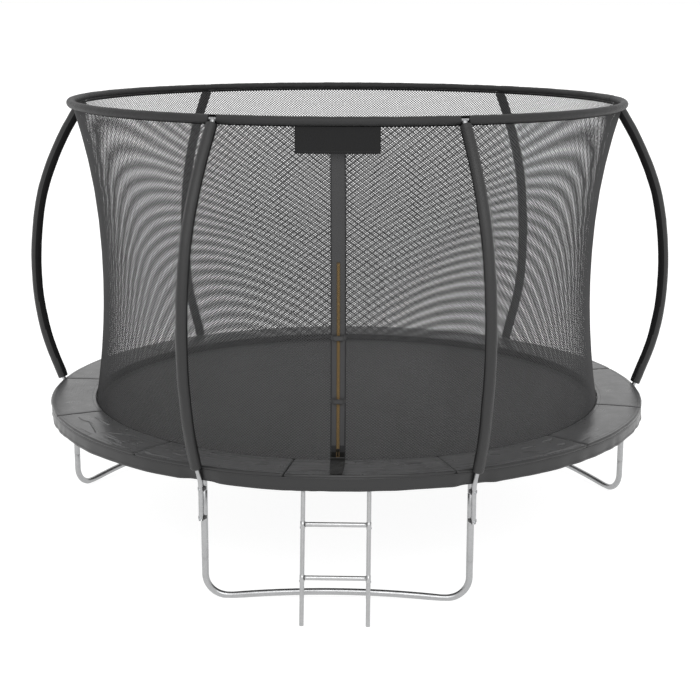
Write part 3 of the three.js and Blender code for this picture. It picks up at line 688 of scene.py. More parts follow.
# ------------------------------------------------------------------ steel frame
def steel_frame():
    gap_az = math.degrees(0.00015 / RAIL_R)
    for k, (name, az) in enumerate(zip(SECTORS, LEG_AZS)):
        e, t = radial(az), around(az)
        p = Parts()
        C, azs = arc(RAIL_R, RAIL_Z, 60 * k + gap_az, 60 * (k + 1) - gap_az, 1.0)
        T = np.stack([around(a) for a in azs])
        sweep(p, C, TUBE_R, UP, 28, T=T)
        # welded socket of the leg, and its weld bead
        base = pol(RAIL_R, az, 0.0)
        zs = np.array([RAIL_Z - 0.006, RAIL_Z - 0.020, SOCKET_Z + 0.0012, SOCKET_Z + 0.0003, SOCKET_Z])
        rr = np.array([TUBE_R - 0.0001, TUBE_R - 0.0001, TUBE_R, TUBE_R - 0.0005, TUBE_R - 0.0014])
        sweep(p, base + zs[:, None] * UP, rr, e, 28)
        a = np.linspace(0, 2 * pi, 49)
        bead = base + UP * RAIL_Z + TUBE_R * 1.01 * (np.cos(a)[:, None] * t + np.sin(a)[:, None] * e) - np.outer(TUBE_R * np.abs(np.cos(a)) + 0.0008, UP)
        wob = 0.0022 + 0.0004 * np.sin(a * 23)
        sweep(p, bead, wob, e * 0.3 + UP, 8, caps=("flat", "flat"))
        ob = p.build(f"rail_{name}", M_TUBE, slot="frame_tube")
        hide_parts(f"top_rail_{name}")
        # leg upright, its lower rim flared over the base tube's swaged end
        p = Parts()
        zs = np.array([SOCKET_Z - 0.0003, SOCKET_Z - 0.0012, 0.5, 0.36, LEG_JOINT_Z + 0.0015, LEG_JOINT_Z + 0.0003])
        rr = np.array([TUBE_R - 0.0012, TUBE_R, TUBE_R, TUBE_R, TUBE_R, TUBE_R - 0.0010])
        sweep(p, base + zs[:, None] * UP, rr, e, 28)
        ob = p.build(f"leg_{name}", M_TUBE, slot="frame_tube")
        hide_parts(f"leg_upright_{name}")

    lx, ly = RAIL_R * math.sin(rad(LEG_AZ)), -RAIL_R * math.cos(rad(LEG_AZ))
    low = TUBE_R * math.cos(pi / 8)
    for name, turn in (("front", 0), ("right", 120), ("left", 240)):
        pts = [(-lx, LEG_JOINT_Z), (-lx, LEG_JOINT_Z - 0.0012), (-lx, 0.5 * (LEG_JOINT_Z + low + BEND_R))]
        for a in np.linspace(180, 270, 19):
            pts.append((-lx + BEND_R + BEND_R * math.cos(rad(a)), low + BEND_R + BEND_R * math.sin(rad(a))))
        x1 = -lx + BEND_R + REST_RUN
        pts.append((x1 - 0.01, low))
        for i in range(1, 24):
            x = x1 - i * 2 * x1 / 24
            pts.append((x, low + BAR_BOW * (1 - (x / x1) ** 2)))
        pts.append((-x1 + 0.01, low))
        for a in np.linspace(270, 360, 19):
            pts.append((lx - BEND_R + BEND_R * math.cos(rad(a)), low + BEND_R + BEND_R * math.sin(rad(a))))
        pts += [(lx, 0.5 * (LEG_JOINT_Z + low + BEND_R)), (lx, LEG_JOINT_Z - 0.0012), (lx, LEG_JOINT_Z)]
        pts = np.array(pts)
        C = np.stack([pts[:, 0], np.full(len(pts), ly), pts[:, 1]], 1)
        c, s = math.cos(rad(turn)), math.sin(rad(turn))
        C = C @ np.array([[c, s, 0], [-s, c, 0], [0, 0, 1.0]]) + np.array([0, CY, 0])
        R = np.full(len(C), low + 0.0001)
        R[:] = TUBE_R * 0.975
        R[0] = R[-1] = TUBE_R - 0.0012
        # the round tube rests on the floor, so its radius is kept to its centre's height
        R = np.minimum(R, np.maximum(C[:, 2] - 0.0001, 0.0172))
        p = Parts()
        sweep(p, C, R, -radial(turn), 28)
        ob = p.build(f"base_tube_{name}", M_TUBE, slot="frame_tube")
        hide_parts(f"leg_base_{name}")


# ------------------------------------------------------------------ enclosure poles
def pole_az(k, z):
    f = np.clip((np.asarray(z) - 0.757) / 0.430, 0, 1)
    return LEG_AZS[k] + (1 if k % 2 else -1) * POLE_TURN * f * f * (3 - 2 * f)


def pole_line(k, z0, z1, n):
    line = smooth_path(POLE_PATH, 400)
    keep = line[(line[:, 1] > z0) & (line[:, 1] < z1)]
    ends = [[np.interp(z, line[:, 1], line[:, 0]), z] for z in (z0, z1)]
    keep = np.concatenate([[ends[0]], keep, [ends[1]]])
    s = lengths(keep)
    w = np.linspace(0, s[-1], n)
    rz = np.stack([np.interp(w, s, keep[:, k]) for k in range(2)], 1)
    return pol(rz[:, 0], pole_az(k, rz[:, 1]), rz[:, 1]), rz


def hexagon(r, n=6):
    a = np.arange(n) * 2 * pi / n
    return np.stack([r * np.cos(a), r * np.sin(a)], 1)


def enclosure_poles():
    for k, (name, az) in enumerate(zip(SECTORS, LEG_AZS)):
        e, t = radial(az), around(az)
        p = Parts()
        C, rz = pole_line(k, POLE_PATH[0, 1], POLE_PATH[-1, 1], 110)
        sweep(p, C, POLE_R, e, 24, caps=("hollow", "flat"))
        ob = p.build(f"pole_{name}", M_TUBE, slot="frame_tube")
        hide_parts(f"enclosure_pole_{name}")
        for j, z in enumerate(POLE_BOLT_Z):
            # spacer between leg and pole, hollowed to both tubes
            y0, y1 = RAIL_R, POLE_FOOT_R
            w = 0.0185
            xs = np.linspace(-w, w, 19)
            inner = y0 + np.sqrt(np.maximum((TUBE_R + 0.0003) ** 2 - xs ** 2, 0))
            outer = y1 - np.sqrt(np.maximum((POLE_R + 0.0003) ** 2 - np.clip(xs, -POLE_R, POLE_R) ** 2, 0))
            outer = np.minimum(outer, y1 - 0.002)
            outline = np.concatenate([np.stack([xs, inner], 1), np.stack([xs, outer], 1)[::-1]])
            M = placed(np.array([0, CY, z]), t, e, UP)
            q = Parts()
            block(q, outline, (-0.009, 0.009), M, 0.0012)
            ob = q.build(f"pole_spacer_{name}_{'lower' if j == 0 else 'upper'}", M_BLACK, smooth=False)
            # through bolt: washers, domed head outside and nut inside
            q = Parts()
            c0 = np.array([0, CY, z])
            head = [(POLE_FOOT_R + POLE_R - 0.0002, 0.0), (POLE_FOOT_R + POLE_R - 0.0002, 0.0085), (POLE_FOOT_R + POLE_R + 0.0014, 0.0085),
                    (POLE_FOOT_R + POLE_R + 0.0015, 0.0066), (POLE_FOOT_R + POLE_R + 0.0024, 0.0064), (POLE_FOOT_R + POLE_R + 0.0042, 0.0052),
                    (POLE_FOOT_R + POLE_R + 0.0054, 0.0030), (POLE_FOOT_R + POLE_R + 0.0058, 0.0002)]
            head = np.array(head)
            sweep(q, c0 + np.outer(head[:, 0], e), np.maximum(head[:, 1], 0.0001), UP, 20, caps=(None, "flat"), T=np.tile(e, (len(head), 1)))
            nut0 = RAIL_R - TUBE_R
            sweep(q, c0 + np.outer([nut0 + 0.0003, nut0 - 0.0015, nut0 - 0.0016], e), [0.0085, 0.0085, 0.0004], UP, 20, T=np.tile(-e, (3, 1)))
            block(q, hexagon(0.0062), (0.0016, 0.0072), placed(c0 + nut0 * e, t, UP, -e), 0.0006)
            sweep(q, c0 + np.outer([nut0 - 0.007, nut0 - 0.0115], e), 0.003, UP, 12, T=np.tile(-e, (2, 1)))
            q.build(f"pole_bolt_{name}_{'lower' if j == 0 else 'upper'}", M_BOLT, slot="frame_tube")

        # padded sleeve with a sewn cover: seam on the side towards the net, hems at both ends
        n, sides = 190, 40
        path = np.concatenate([smooth_path(POLE_PATH, 400), [SLEEVE_TOP]])
        path = path[path[:, 1] > SLEEVE_Z]
        path = np.concatenate([[[np.interp(SLEEVE_Z, POLE_PATH[:, 1], POLE_PATH[:, 0]), SLEEVE_Z]], path])
        w = np.linspace(0, lengths(path)[-1], n)
        rz = np.stack([np.interp(w, lengths(path), path[:, j]) for j in range(2)], 1)
        C = pol(rz[:, 0], pole_az(k, rz[:, 1]), rz[:, 1])
        C, R = round_ends(C, np.full(n, SLEEVE_R - 0.0006), 0.007, 5)
        s = lengths(C)
        phi = 2 * pi * np.arange(sides) / sides
        nz = Noise(100 + k)
        S, PH = np.meshgrid(s, phi, indexing="ij")
        seam = np.exp(-((PH - pi) / 0.13) ** 2)
        pucker = 0.00045 * seam * np.sin(S * 2 * pi / 0.021)
        wr = nz.fbm(S * 7, np.cos(PH) * 1.3 + 5, 3) * 0.0008 + nz.at(S * 34 + np.sin(PH) * 2.2, np.cos(PH) * 2 + 20) * 0.00045
        ends = np.minimum(s, s[-1] - s)
        hem = 0.0010 * np.exp(-((ends - 0.028) / 0.004) ** 2)
        fade = np.clip(ends / 0.03, 0, 1)[:, None]
        RR = R[:, None] + (wr + pucker) * fade - 0.0012 * seam * fade - hem[:, None]
        RR = np.minimum(RR, SLEEVE_R + 0.001)
        RR = RR + 0.0035 * np.exp(-((PH - pi) / 0.5) ** 4) * fade
        p = Parts()
        sweep(p, C, RR, e, sides, caps=(None, None))
        # painted shade: a dark band of the cover on its side towards the net, where the cover stays unlit; the band is
        # turned for each pole and, on the side poles, shifts lower down
        face = (np.arange((len(C) - 1) * sides) % sides + 0.5) * 360 / sides
        height = C[np.arange((len(C) - 1) * sides) // sides, 2]
        low = 24 * np.clip((1.30 - height) / 0.50, 0, 1)
        middle = {0: 22.0, 1: 0.0, 2: 39.0, 3: -39.0, 4: 0.0, 5: -22.0}[k] + 180 + {1: -low, 4: low}.get(k, 0.0)
        p.I4[-1] = np.where(np.abs((face - middle + 180) % 360 - 180) < 79, 2, 0)
        # turned-in mouth down to the tube
        Tt, N, B = frames(C, e)
        for row, sign in ((0, 1), (len(C) - 1, -1)):
            rings = []
            r0 = RR[row].mean()
            for rr, dd in ((r0, 0.0), (POLE_R + 0.004, 0.0012), (POLE_R + 0.0018, 0.004), (POLE_R + 0.0012, 0.015)):
                rings.append(C[row] + sign * dd * Tt[row] + rr * (np.cos(phi)[:, None] * N[row] + np.sin(phi)[:, None] * B[row]))
            G = np.stack(rings)
            q, ci, cj = grid_faces(len(rings), sides, wrap=True, flip=sign < 0)
            p.add(G, q, None, np.stack([ci * 0.005, cj * 0.0047], 1))
        line = C + (RR[:, sides // 2] - 0.0001)[:, None] * -N
        stitches(p, line[8:-8], -N[8:-8], mat=1)
        for row in (int(np.argmin(np.abs(ends[:80] - 0.028))), len(C) - 1 - int(np.argmin(np.abs(ends[:80] - 0.028)))):
            a = np.linspace(0, 2 * pi, 60)
            dirs = np.cos(a)[:, None] * N[row] + np.sin(a)[:, None] * B[row]
            rad_here = np.interp(a, np.append(phi, 2 * pi), np.append(RR[row], RR[row][0]))
            stitches(p, C[row] + dirs * rad_here[:, None], dirs, mat=1)
        ob = p.build(f"sleeve_{name}", [M_SLEEVE, M_THREAD, M_SLEEVE_SHADE], slot="pole_sleeve")
        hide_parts(f"pole_sleeve_{name}")

        # tee: a tube that the hoop rods enter, with a socket for the pole
        p = Parts()
        half = math.degrees((HOOP_GAP - 0.0003) / HOOP_R)
        az, e, t = TOP_AZS[k], radial(TOP_AZS[k]), around(TOP_AZS[k])
        C, azs = arc(HOOP_R, HOOP_Z, az - half, az + half, 0.25)
        T = np.stack([around(a) for a in azs])
        Rt = np.full(len(C), 0.0100)
        Rt[0] = Rt[-1] = 0.0092
        sweep(p, C, Rt, UP, 24, T=T, caps=("flat", "flat"))
        top = pol(POLE_PATH[-1, 0], az, POLE_PATH[-1, 1])
        hoop = pol(HOOP_R, az, HOOP_Z)
        d = (hoop - top) / np.linalg.norm(hoop - top)
        L = np.linalg.norm(hoop - top)
        ss = np.array([0.0004, 0.0012, 0.0012, L * 0.5, L - 0.004])
        sweep(p, top + np.outer(ss, d), [0.0124, 0.0133, 0.0135, 0.0135, 0.0134], e, 24)
        a = np.linspace(0, 2 * pi, 41)
        across = np.cross(d, t)
        bead = hoop + 0.0138 * (np.cos(a)[:, None] * t + np.sin(a)[:, None] * across) - np.outer(0.0125 * np.abs(np.cos(a)) + 0.0005, d)
        sweep(p, bead, 0.0014, d, 8)
        ob = p.build(f"tee_{name}", M_TEE, slot="hoop_fitting")
        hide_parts(f"hoop_tee_{name}")


# ------------------------------------------------------------------ hoop in the net's hem
def hoop():
    d = math.degrees(HOOP_GAP / HOOP_R)
    for k, name in enumerate(HEM_NAMES):
        a0, a1 = TOP_AZS[k] + d, (TOP_AZS[(k + 1) % 6] + (360 if k == 5 else 0)) - d
        sides = 36
        C, azs = arc(HOOP_R, HOOP_Z, a0, a1, 0.3)
        C, R = round_ends(C, np.full(len(C), HEM_R - 0.0008), 0.005, 4)
        n = len(C)
        s = lengths(C)
        S, PH = np.meshgrid(s, 2 * pi * np.arange(sides) / sides, indexing="ij")
        nz = Noise(300 + k)
        wr = nz.fbm(S * 9, np.cos(PH) * 1.5 + 3, 3) * 0.0008 + nz.at(S * 60 + np.sin(PH) * 1.5, np.cos(PH) * 2 + 11) * 0.0005
        ends = np.minimum(s, s[-1] - s)
        fade = np.clip(ends / 0.02, 0, 1)[:, None]
        # the hem's seam, where its two edges meet the net, at the lower side
        low = np.exp(-((PH - pi) / 0.20) ** 2)
        ridge = 0.0016 * low + 0.0004 * low * np.sin(S * 2 * pi / 0.017)
        RR = R[:, None] + wr * fade - 0.0006 * np.exp(-((ends - 0.02) / 0.003) ** 2)[:, None]
        RR = np.minimum(RR + ridge * fade, HEM_R + 0.0012)
        p = Parts()
        sweep(p, C, RR, UP, sides, caps=(None, None))
        Tt, N, B = frames(C, UP)
        phi = 2 * pi * np.arange(sides) / sides
        for row, sign in ((0, 1), (n - 1, -1)):
            rings = []
            for rr, dd in ((RR[row].mean(), 0.0), (0.0142, 0.001), (0.0120, 0.004), (0.0112, 0.012)):
                rings.append(C[row] + sign * dd * Tt[row] + rr * (np.cos(phi)[:, None] * N[row] + np.sin(phi)[:, None] * B[row]))
            q, ci, cj = grid_faces(len(rings), sides, wrap=True, flip=sign < 0)
            p.add(np.stack(rings), q, None, np.stack([ci * 0.005, cj * 0.004], 1))
        for off in (0.82, 1.18):
            j = int(round(off * sides / 2)) % sides
            dirs = np.cos(phi[j]) * N + np.sin(phi[j]) * B
            stitches(p, (C + dirs * (RR[:, j] - 0.0001)[:, None])[6:-6], dirs[6:-6], 0.006, 0.004, 0.0006, mat=1)
        ob = p.build(f"hem_{name}", [M_HEM, M_THREAD], slot="hoop_hem")
        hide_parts(f"hoop_hem_{name}")
        C, azs = arc(HOOP_R, HOOP_Z, a0 - 0.55, a1 + 0.55, 1.0)
        p = Parts()
        sweep(p, C, 0.0082, UP, 16)
        p.build(f"hoop_rod_{name}", M_TEE, slot="hoop_fitting")
        # the hem is cut away on its outer side where the pole comes in; its inner half runs on
        az = TOP_AZS[k]
        half = math.degrees((HOOP_GAP + 0.004) / HOOP_R)
        C, azs = arc(HOOP_R, HOOP_Z, az - half, az + half, 0.2)
        cut = np.radians(np.linspace(62, 252, 17))
        ev = np.stack([radial(a_) for a_ in azs])
        ring = lambda r_: C[:, None] + r_ * (np.cos(cut)[None, :, None] * ev[:, None] + np.sin(cut)[None, :, None] * UP)
        p = Parts()
        slab(p, ring(HEM_R - 0.0022), ring(HEM_R - 0.0040), flip=True, uv=(np.radians(azs) * HOOP_R, cut * HEM_R))
        faces = (len(azs) - 1) * (len(cut) - 1)
        turned = np.degrees(cut)[np.arange(faces) % (len(cut) - 1)]
        # its faces turned outward, towards the pole, are painted dark as painted shade in the hem's opening; the inward
        # faces are hem cloth
        p.I4[-1][:] = 1
        p.I4[-1][:faces] = np.where(turned < 100, 1, 0)
        p.build(f"hem_bridge_{SECTORS[k]}", [M_HEM, M_SLEEVE_SHADE], slot="hoop_hem")


def dishing(ob):
    """Bakes the object's placement into its mesh."""
    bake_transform(ob)
    return ob


NET_LINES, NET_STEP = 516, 4
# height of the net's meshes, which are smallest at the waist
MESH_Z = [0.73, 0.93, 1.20, 1.63, 2.02, 2.28, 2.46, 2.543]
MESH_H = [0.0147, 0.0144, 0.0138, 0.0133, 0.0142, 0.0156, 0.0158, 0.0159]
FINE_Z = np.linspace(NET_BOTTOM, NET_TOP, 600)
FINE_N = 1 / np.interp(FINE_Z, MESH_Z, MESH_H)
FINE_N = np.concatenate([[0], np.cumsum((FINE_N[1:] + FINE_N[:-1]) / 2 * np.diff(FINE_Z))])
NET_CELLS = int(round(FINE_N[-1]))
NET_ROWS = np.interp(np.arange(NET_CELLS + 1), FINE_N * NET_CELLS / FINE_N[-1], FINE_Z)
YARN_W, YARN_H = 0.0043, 0.0020


def net():
    d = 360 / NET_LINES
    per = NET_LINES // 6
    chains = [[] for _ in range(6)]
    nz = Noise(7, 1024)
    for fam in (1, -1):
        for i in range(NET_LINES):
            first = (-i) % NET_STEP if fam == 1 else i % NET_STEP
            ms = np.unique(np.concatenate([[0], np.arange(first, NET_CELLS, NET_STEP), [NET_CELLS]]))
            ii = i + fam * ms
            mid = (ii[:-1] + ii[1:]) / 2
            sec = np.floor(mid / per).astype(int)
            cut = np.flatnonzero(np.diff(sec)) + 1
            for a, b in zip(np.concatenate([[0], cut]), np.concatenate([cut, [len(sec)]])):
                if b > a:
                    chains[int(sec[a]) % 6].append((fam, ms[a:b + 1], ii[a:b + 1]))
    one, _, _ = grid_faces(2, 3, wrap=True, flip=True)
    for k, name in enumerate(SECTORS):
        Vs, Qs, Ts, base = [], [], [], 0
        for fam, ms, ii in chains[k]:
            n = len(ms)
            z = NET_ROWS[ms]
            az = ii * d
            jit = 0.0007
            P = pol(net_r(z) - (0.0002 if fam > 0 else 0.0011), az, z)
            a = np.radians(az)
            e = np.stack([np.sin(a), -np.cos(a), np.zeros(n)], 1)
            t = np.stack([np.cos(a), np.sin(a), np.zeros(n)], 1)
            if n > 2:
                j = nz.at(ii * 0.37 + 50 * fam, ms * 0.31 + 3.0)
                P[1:-1] += (jit * j[1:-1])[:, None] * t[1:-1]
            T = np.gradient(P, axis=0)
            T /= np.linalg.norm(T, axis=1)[:, None]
            S = np.cross(T, e)
            S /= np.linalg.norm(S, axis=1)[:, None]
            N = np.cross(S, T)
            N *= np.sign((N * e).sum(1))[:, None]
            w = YARN_W / 2
            V = np.stack([P + w * S - 0.3 * YARN_H * N, P + 0.7 * YARN_H * N, P - w * S - 0.3 * YARN_H * N], 1).reshape(-1, 3)
            q = (one[None] + 3 * np.arange(n - 1)[:, None, None]).reshape(-1, 4) + base
            Vs.append(V)
            Qs.append(q)
            Ts.append(np.array([[0, 1, 2], [3 * n - 1, 3 * n - 2, 3 * n - 3]]) + base)
            base += 3 * n
        V, Q, T3 = np.concatenate(Vs), np.concatenate(Qs), np.concatenate(Ts)
        ob = make(f"net_{name}", V, [Q, T3], M_NET, slot="net", smooth=False, ride=False)
        dishing(ob)
        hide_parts(f"net_panel_{name}")

    # woven tape along the net's foot and under its hem
    az = np.linspace(0, 360, 361)
    dirs = np.stack([radial(a) for a in az])
    for label in ("lower", "upper"):
        if label == "lower":
            zs = np.array([0.733, 0.737, 0.744, 0.752, 0.7585, 0.7605])
            line = np.concatenate([[[1.5500, 0.7224], [1.5600, 0.7226], [1.5690, 0.7236], [1.5728, 0.7280]],
                                   np.stack([net_r(zs), zs], 1)])
        else:
            zs = np.linspace(NET_TOP - 0.005, NET_TOP + 0.006, 5)
            line = np.stack([net_r(np.minimum(zs, NET_TOP)), zs], 1)
        A = np.broadcast_to(az[:, None], (361, len(line)))
        wob = 0.0006 * np.sin(np.radians(az) * 61) * np.sin(np.radians(az) * 23 + 1)
        tan = np.gradient(line, axis=0)
        tan /= np.linalg.norm(tan, axis=1)[:, None]
        nrm = np.stack([tan[:, 1], -tan[:, 0]], 1)
        mid = line + 0.0000 * nrm
        o, i = mid + 0.0011 * nrm, mid - 0.0009 * nrm
        if label == "lower":
            o[:, 1] = np.maximum(o[:, 1], 0.7216)
            i[:, 1] = np.maximum(i[:, 1], o[:, 1] * 0 + 0.7216)
            i[:3, 1] = np.maximum(i[:3, 1], 0.7232)
        w_ = np.clip((line[:, 1] - 0.728) / 0.01, 0, 1)[None]
        outer = pol(o[None, :, 0] + wob[:, None] * w_, A, np.broadcast_to(o[None, :, 1], A.shape))
        inner = pol(i[None, :, 0] + wob[:, None] * w_, A, np.broadcast_to(i[None, :, 1], A.shape))
        p = Parts()
        slab(p, outer, inner, flip=True)
        rows = () if label == "upper" else (5, -2)
        for r_ in rows:
            stitches(p, outer[:, r_], dirs, 0.006, 0.004, 0.0006, mat=1)
        ob = p.build(f"net_tape_{label}", [M_TAPE, M_THREAD], slot="net", ride=False)
        dishing(ob)


# ------------------------------------------------------------------ safety pad
# creases of the cover: depth and half width in mm, then radius in m and azimuth in degrees along each
CREASES = [
    (3.6, 4.0, [(1.745, -63.0), (1.746, -61.9), (1.738, -60.1), (1.721, -58.8), (1.723, -57.4), (1.741, -55.0), (1.761, -52.7), (1.777, -51.4)]),
    (2.6, 3.8, [(1.658, -61.6), (1.653, -59.4), (1.653, -56.6), (1.648, -54.9)]),
    (1.6, 3.6, [(1.814, -55.5), (1.814, -53.9), (1.811, -51.2)]),
    (1.8, 4.5, [(1.756, -50.9), (1.724, -49.8), (1.697, -48.3), (1.663, -46.3), (1.635, -43.3)]),
    (3.6, 9.0, [(1.741, -42.3), (1.708, -41.9), (1.689, -40.7)]),
    (3.4, 6.0, [(1.812, -36.0), (1.814, -34.5), (1.815, -32.8), (1.815, -29.6)]),
    (2.6, 6.0, [(1.690, -34.2), (1.679, -32.5), (1.663, -31.0)]),
    (3.0, 6.0, [(1.735, -31.4), (1.741, -29.4), (1.729, -27.5)]),
    (2.4, 7.0, [(1.737, -14.5), (1.715, -13.5), (1.720, -12.3)]),
    (2.6, 7.0, [(1.796, -6.1), (1.769, -3.7), (1.772, -1.4)]),
    (4.6, 13.0, [(1.675, 12.4), (1.666, 14.2), (1.676, 15.8)]),
    (2.6, 12.0, [(1.640, 18.6), (1.720, 18.9), (1.800, 19.2)]),
    (3.0, 7.0, [(1.662, 37.1), (1.67, 40.1)]),
    (2.6, 7.0, [(1.719, 35.4), (1.767, 37.7), (1.795, 40.3)]),
    (3.0, 6.0, [(1.643, 43.6), (1.642, 46.7)]),
    (2.2, 6.0, [(1.822, 25.2), (1.822, 31.2), (1.822, 36.7), (1.822, 42.3), (1.822, 46.9)]),
    (2.4, 6.0, [(1.738, 44.3), (1.749, 46.0)]),
    (2.0, 6.0, [(1.665, 29.5), (1.693, 31.3)]),
]
PAD_SEAMS = [-94.8, -66.1, -37.0, -8.6, 19.9, 48.1, 76.8, 108.2, 139.7, 171.1, 202.5, 234.0, 265.2]


def groove(A, Rr, line, wide):
    """How deep each point lies in a crease that runs along a line, from 0 to 1."""
    P = np.stack([np.radians(A) * 1.72, Rr], -1)
    L = np.array([[rad(a_) * 1.72, r_] for r_, a_ in line])
    run = np.concatenate([[0], np.cumsum(np.linalg.norm(np.diff(L, axis=0), axis=1))])
    best, where = np.full(A.shape, 9.0), np.zeros(A.shape)
    for a_, b_, s_ in zip(L[:-1], L[1:], run):
        ab = b_ - a_
        t = np.clip(((P - a_) @ ab) / (ab @ ab), 0, 1)
        d = np.linalg.norm(P - a_ - t[..., None] * ab, axis=-1)
        where = np.where(d < best, (s_ + t * np.linalg.norm(ab)) / run[-1], where)
        best = np.minimum(best, d)
    fade = np.clip(np.minimum(where, 1 - where) / 0.12 + 0.25, 0, 1)
    return np.exp(-(best / wide) ** 2) * fade - 0.12 * np.exp(-((best - 2.2 * wide) / wide) ** 2) * fade


def pad():
    nz, nz2 = Noise(21), Noise(22)
    n_top = 76
    # the section as a closed line: over the top from inside to outside, round the edge and back beneath
    top_r = np.linspace(PAD_INNER + 0.003, PAD_OUTER - 0.008, n_top)
    a = np.linspace(pi / 2, -pi / 2, 8)
    out_r = PAD_OUTER - 0.009 + 0.0085 * np.cos(a)
    out_z = (PAD_TOP + PAD_UNDER) / 2 + 0.010 * np.sin(a)
    b = np.linspace(-pi / 2, -3 * pi / 2, 8)
    in_r = PAD_INNER + 0.0037 + 0.0075 * np.cos(b)
    in_z = (PAD_TOP + PAD_UNDER) / 2 + 0.010 * np.sin(b)
    low_r = np.linspace(PAD_OUTER - 0.009, PAD_INNER + 0.004, 12)[1:-1]
    pr = np.concatenate([top_r, out_r[1:], low_r, in_r[:-1]])
    pz = np.concatenate([np.full(n_top, PAD_TOP), out_z[1:], np.full(10, PAD_UNDER), in_z[:-1]])
    n = len(pr)
    mid_z = (PAD_TOP + PAD_UNDER) / 2
    up = (pz - mid_z) / 0.010
    for k in range(12):
        a0, a1 = PAD_SEAMS[k], PAD_SEAMS[k + 1]
        edge = np.array([0, 0.0010, 0.0030, 0.006, 0.010, 0.016, 0.026])
        g0, g1 = ({-37.0: 0.0036, -8.6: 0.0028, 48.1: 0.0034, 19.9: 0.0012}.get(a_, 0.0008) for a_ in (a0, a1))
        arc_len = rad(a1 - a0) * 1.72
        body = np.linspace(0.04, arc_len - 0.04, int(arc_len / (0.0050 if 1 <= k <= 4 else 0.0115)))
        s = np.concatenate([edge, body, arc_len - edge[::-1]])
        s[0], s[-1] = 0, arc_len
        az = a0 + (s * (arc_len - g0 - g1) / arc_len + g0) / 1.72 * 180 / pi
        A, Rr = np.meshgrid(az, pr, indexing="ij")
        Zz = np.broadcast_to(pz, A.shape).copy()
        U = np.broadcast_to(up, A.shape)
        dist = np.minimum(s, arc_len - s)[:, None]
        # pillow form: the cover pulls in at the seams and along both rims
        pull = 1 - 0.72 * np.exp(-dist / 0.0045) - 0.10 * np.exp(-dist / 0.03)
        x = (A + 200) * 1.72 * pi / 180
        rim = np.clip(np.minimum(Rr - PAD_INNER, PAD_OUTER - Rr) / 0.05, 0, 1)
        crown = 0.0022 * np.sin(np.clip((Rr - PAD_INNER) / (PAD_OUTER - PAD_INNER), 0, 1) * pi) ** 0.6
        # long shallow ripples round the ring, and short creases near the rims and seams
        long_w = nz.fbm(x * 2.2, Rr * 7, 2) * 0.0015
        ridged = 1 - np.abs(nz2.fbm(x * 5.5 + 0.8 * nz.at(x * 3, Rr * 14), Rr * 62, 2))
        front = np.exp(-(((A + 180) % 360 - 180) / 50) ** 4)
        crease = np.maximum(ridged - 0.78, 0) * 0.016 * np.clip(nz.at(x * 1.7 + 31, Rr * 11 + 7) + 0.15 + 0.5 * front, 0, 1) * (0.35 + 0.65 * front)
        gather = nz.at(x * 55 + 3, Rr * 9) * 0.0006 * np.exp(-np.minimum(Rr - PAD_INNER, PAD_OUTER - Rr) / 0.018)
        near = nz2.at(x * 20, Rr * 75 + 5) * 0.0010 * np.exp(-dist / 0.035)
        for depth, wide, line in CREASES:
            if a0 < line[0][1] < a1:
                crease = crease + groove(A, Rr, line, wide / 1000) * depth * 1.7 / 1000
        move = (crown + long_w - crease + gather + near - 0.0012) * np.clip(U, 0, 1) * np.clip(rim * 1.5 + 0.3, 0, 1)
        Zz = mid_z + (Zz - mid_z) * pull + move * pull
        Zz = np.minimum(Zz, PAD_TOP + 0.0025)
        edge_r = nz.fbm(x * 6 + 60, Rr * 0 + 2, 3) * 0.0022
        outside = np.clip((Rr - (PAD_OUTER - 0.03)) / 0.03, 0, 1)
        Rr = Rr + edge_r * outside - 0.0012 * outside - 0.0035 * np.exp(-dist / 0.004) * outside
        V = pol(Rr, A, Zz).reshape(-1, 3)
        rows = len(s)
        q, ci, cj = grid_faces(rows, n, wrap=True, flip=False)
        prof = np.concatenate([[0], np.cumsum(np.hypot(np.diff(np.append(pr, pr[0])), np.diff(np.append(pz, pz[0]))))])
        uv = np.stack([s[ci] + a0 * 0.03, prof[cj]], 1)
        c0, c1 = pol(1.713, az[0] + 0.02, mid_z), pol(1.713, az[-1] - 0.02, mid_z)
        ring = np.arange(n)
        k0, k1 = rows * n, rows * n + 1
        t0 = np.stack([ring, np.roll(ring, -1), np.full(n, k0)], 1)
        t1 = np.stack([(rows - 1) * n + np.roll(ring, -1), (rows - 1) * n + ring, np.full(n, k1)], 1)
        p = Parts()
        p.add(np.concatenate([V, [c0, c1]]), q, np.concatenate([t0, t1]), uv, None, 0)
        # its rounded outer edge is of the skirt's cloth
        column = np.arange((rows - 1) * n) % n
        p.I4[-2 if len(p.I4) > 1 else -1][:len(column)] = np.where((column >= n_top - 1) & (column < n_top + 7), 2, 0)
        # a dark tape sewn beneath the joint with the next section
        ra = np.linspace(PAD_INNER + 0.012, PAD_OUTER - 0.014, 8)
        aa = a1 + np.array([-0.30, 0.30])
        tape = lambda z_: pol(ra[:, None], aa[None], z_)
        slab(p, tape(PAD_UNDER + 0.0046), tape(PAD_UNDER + 0.0036), flip=True, mat=3)
        G = V.reshape(rows, n, 3)
        for j in (5, n_top - 6):
            stitches(p, G[4:-4, j], UP, 0.006, 0.004, 0.0004, mat=1)
        ob = p.build(f"pad_section_{k + 1:02d}", [M_PAD, M_THREAD, M_SKIRT, M_TAPE], slot="pad_cover")
        if k == 0:
            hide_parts("safety_pad")

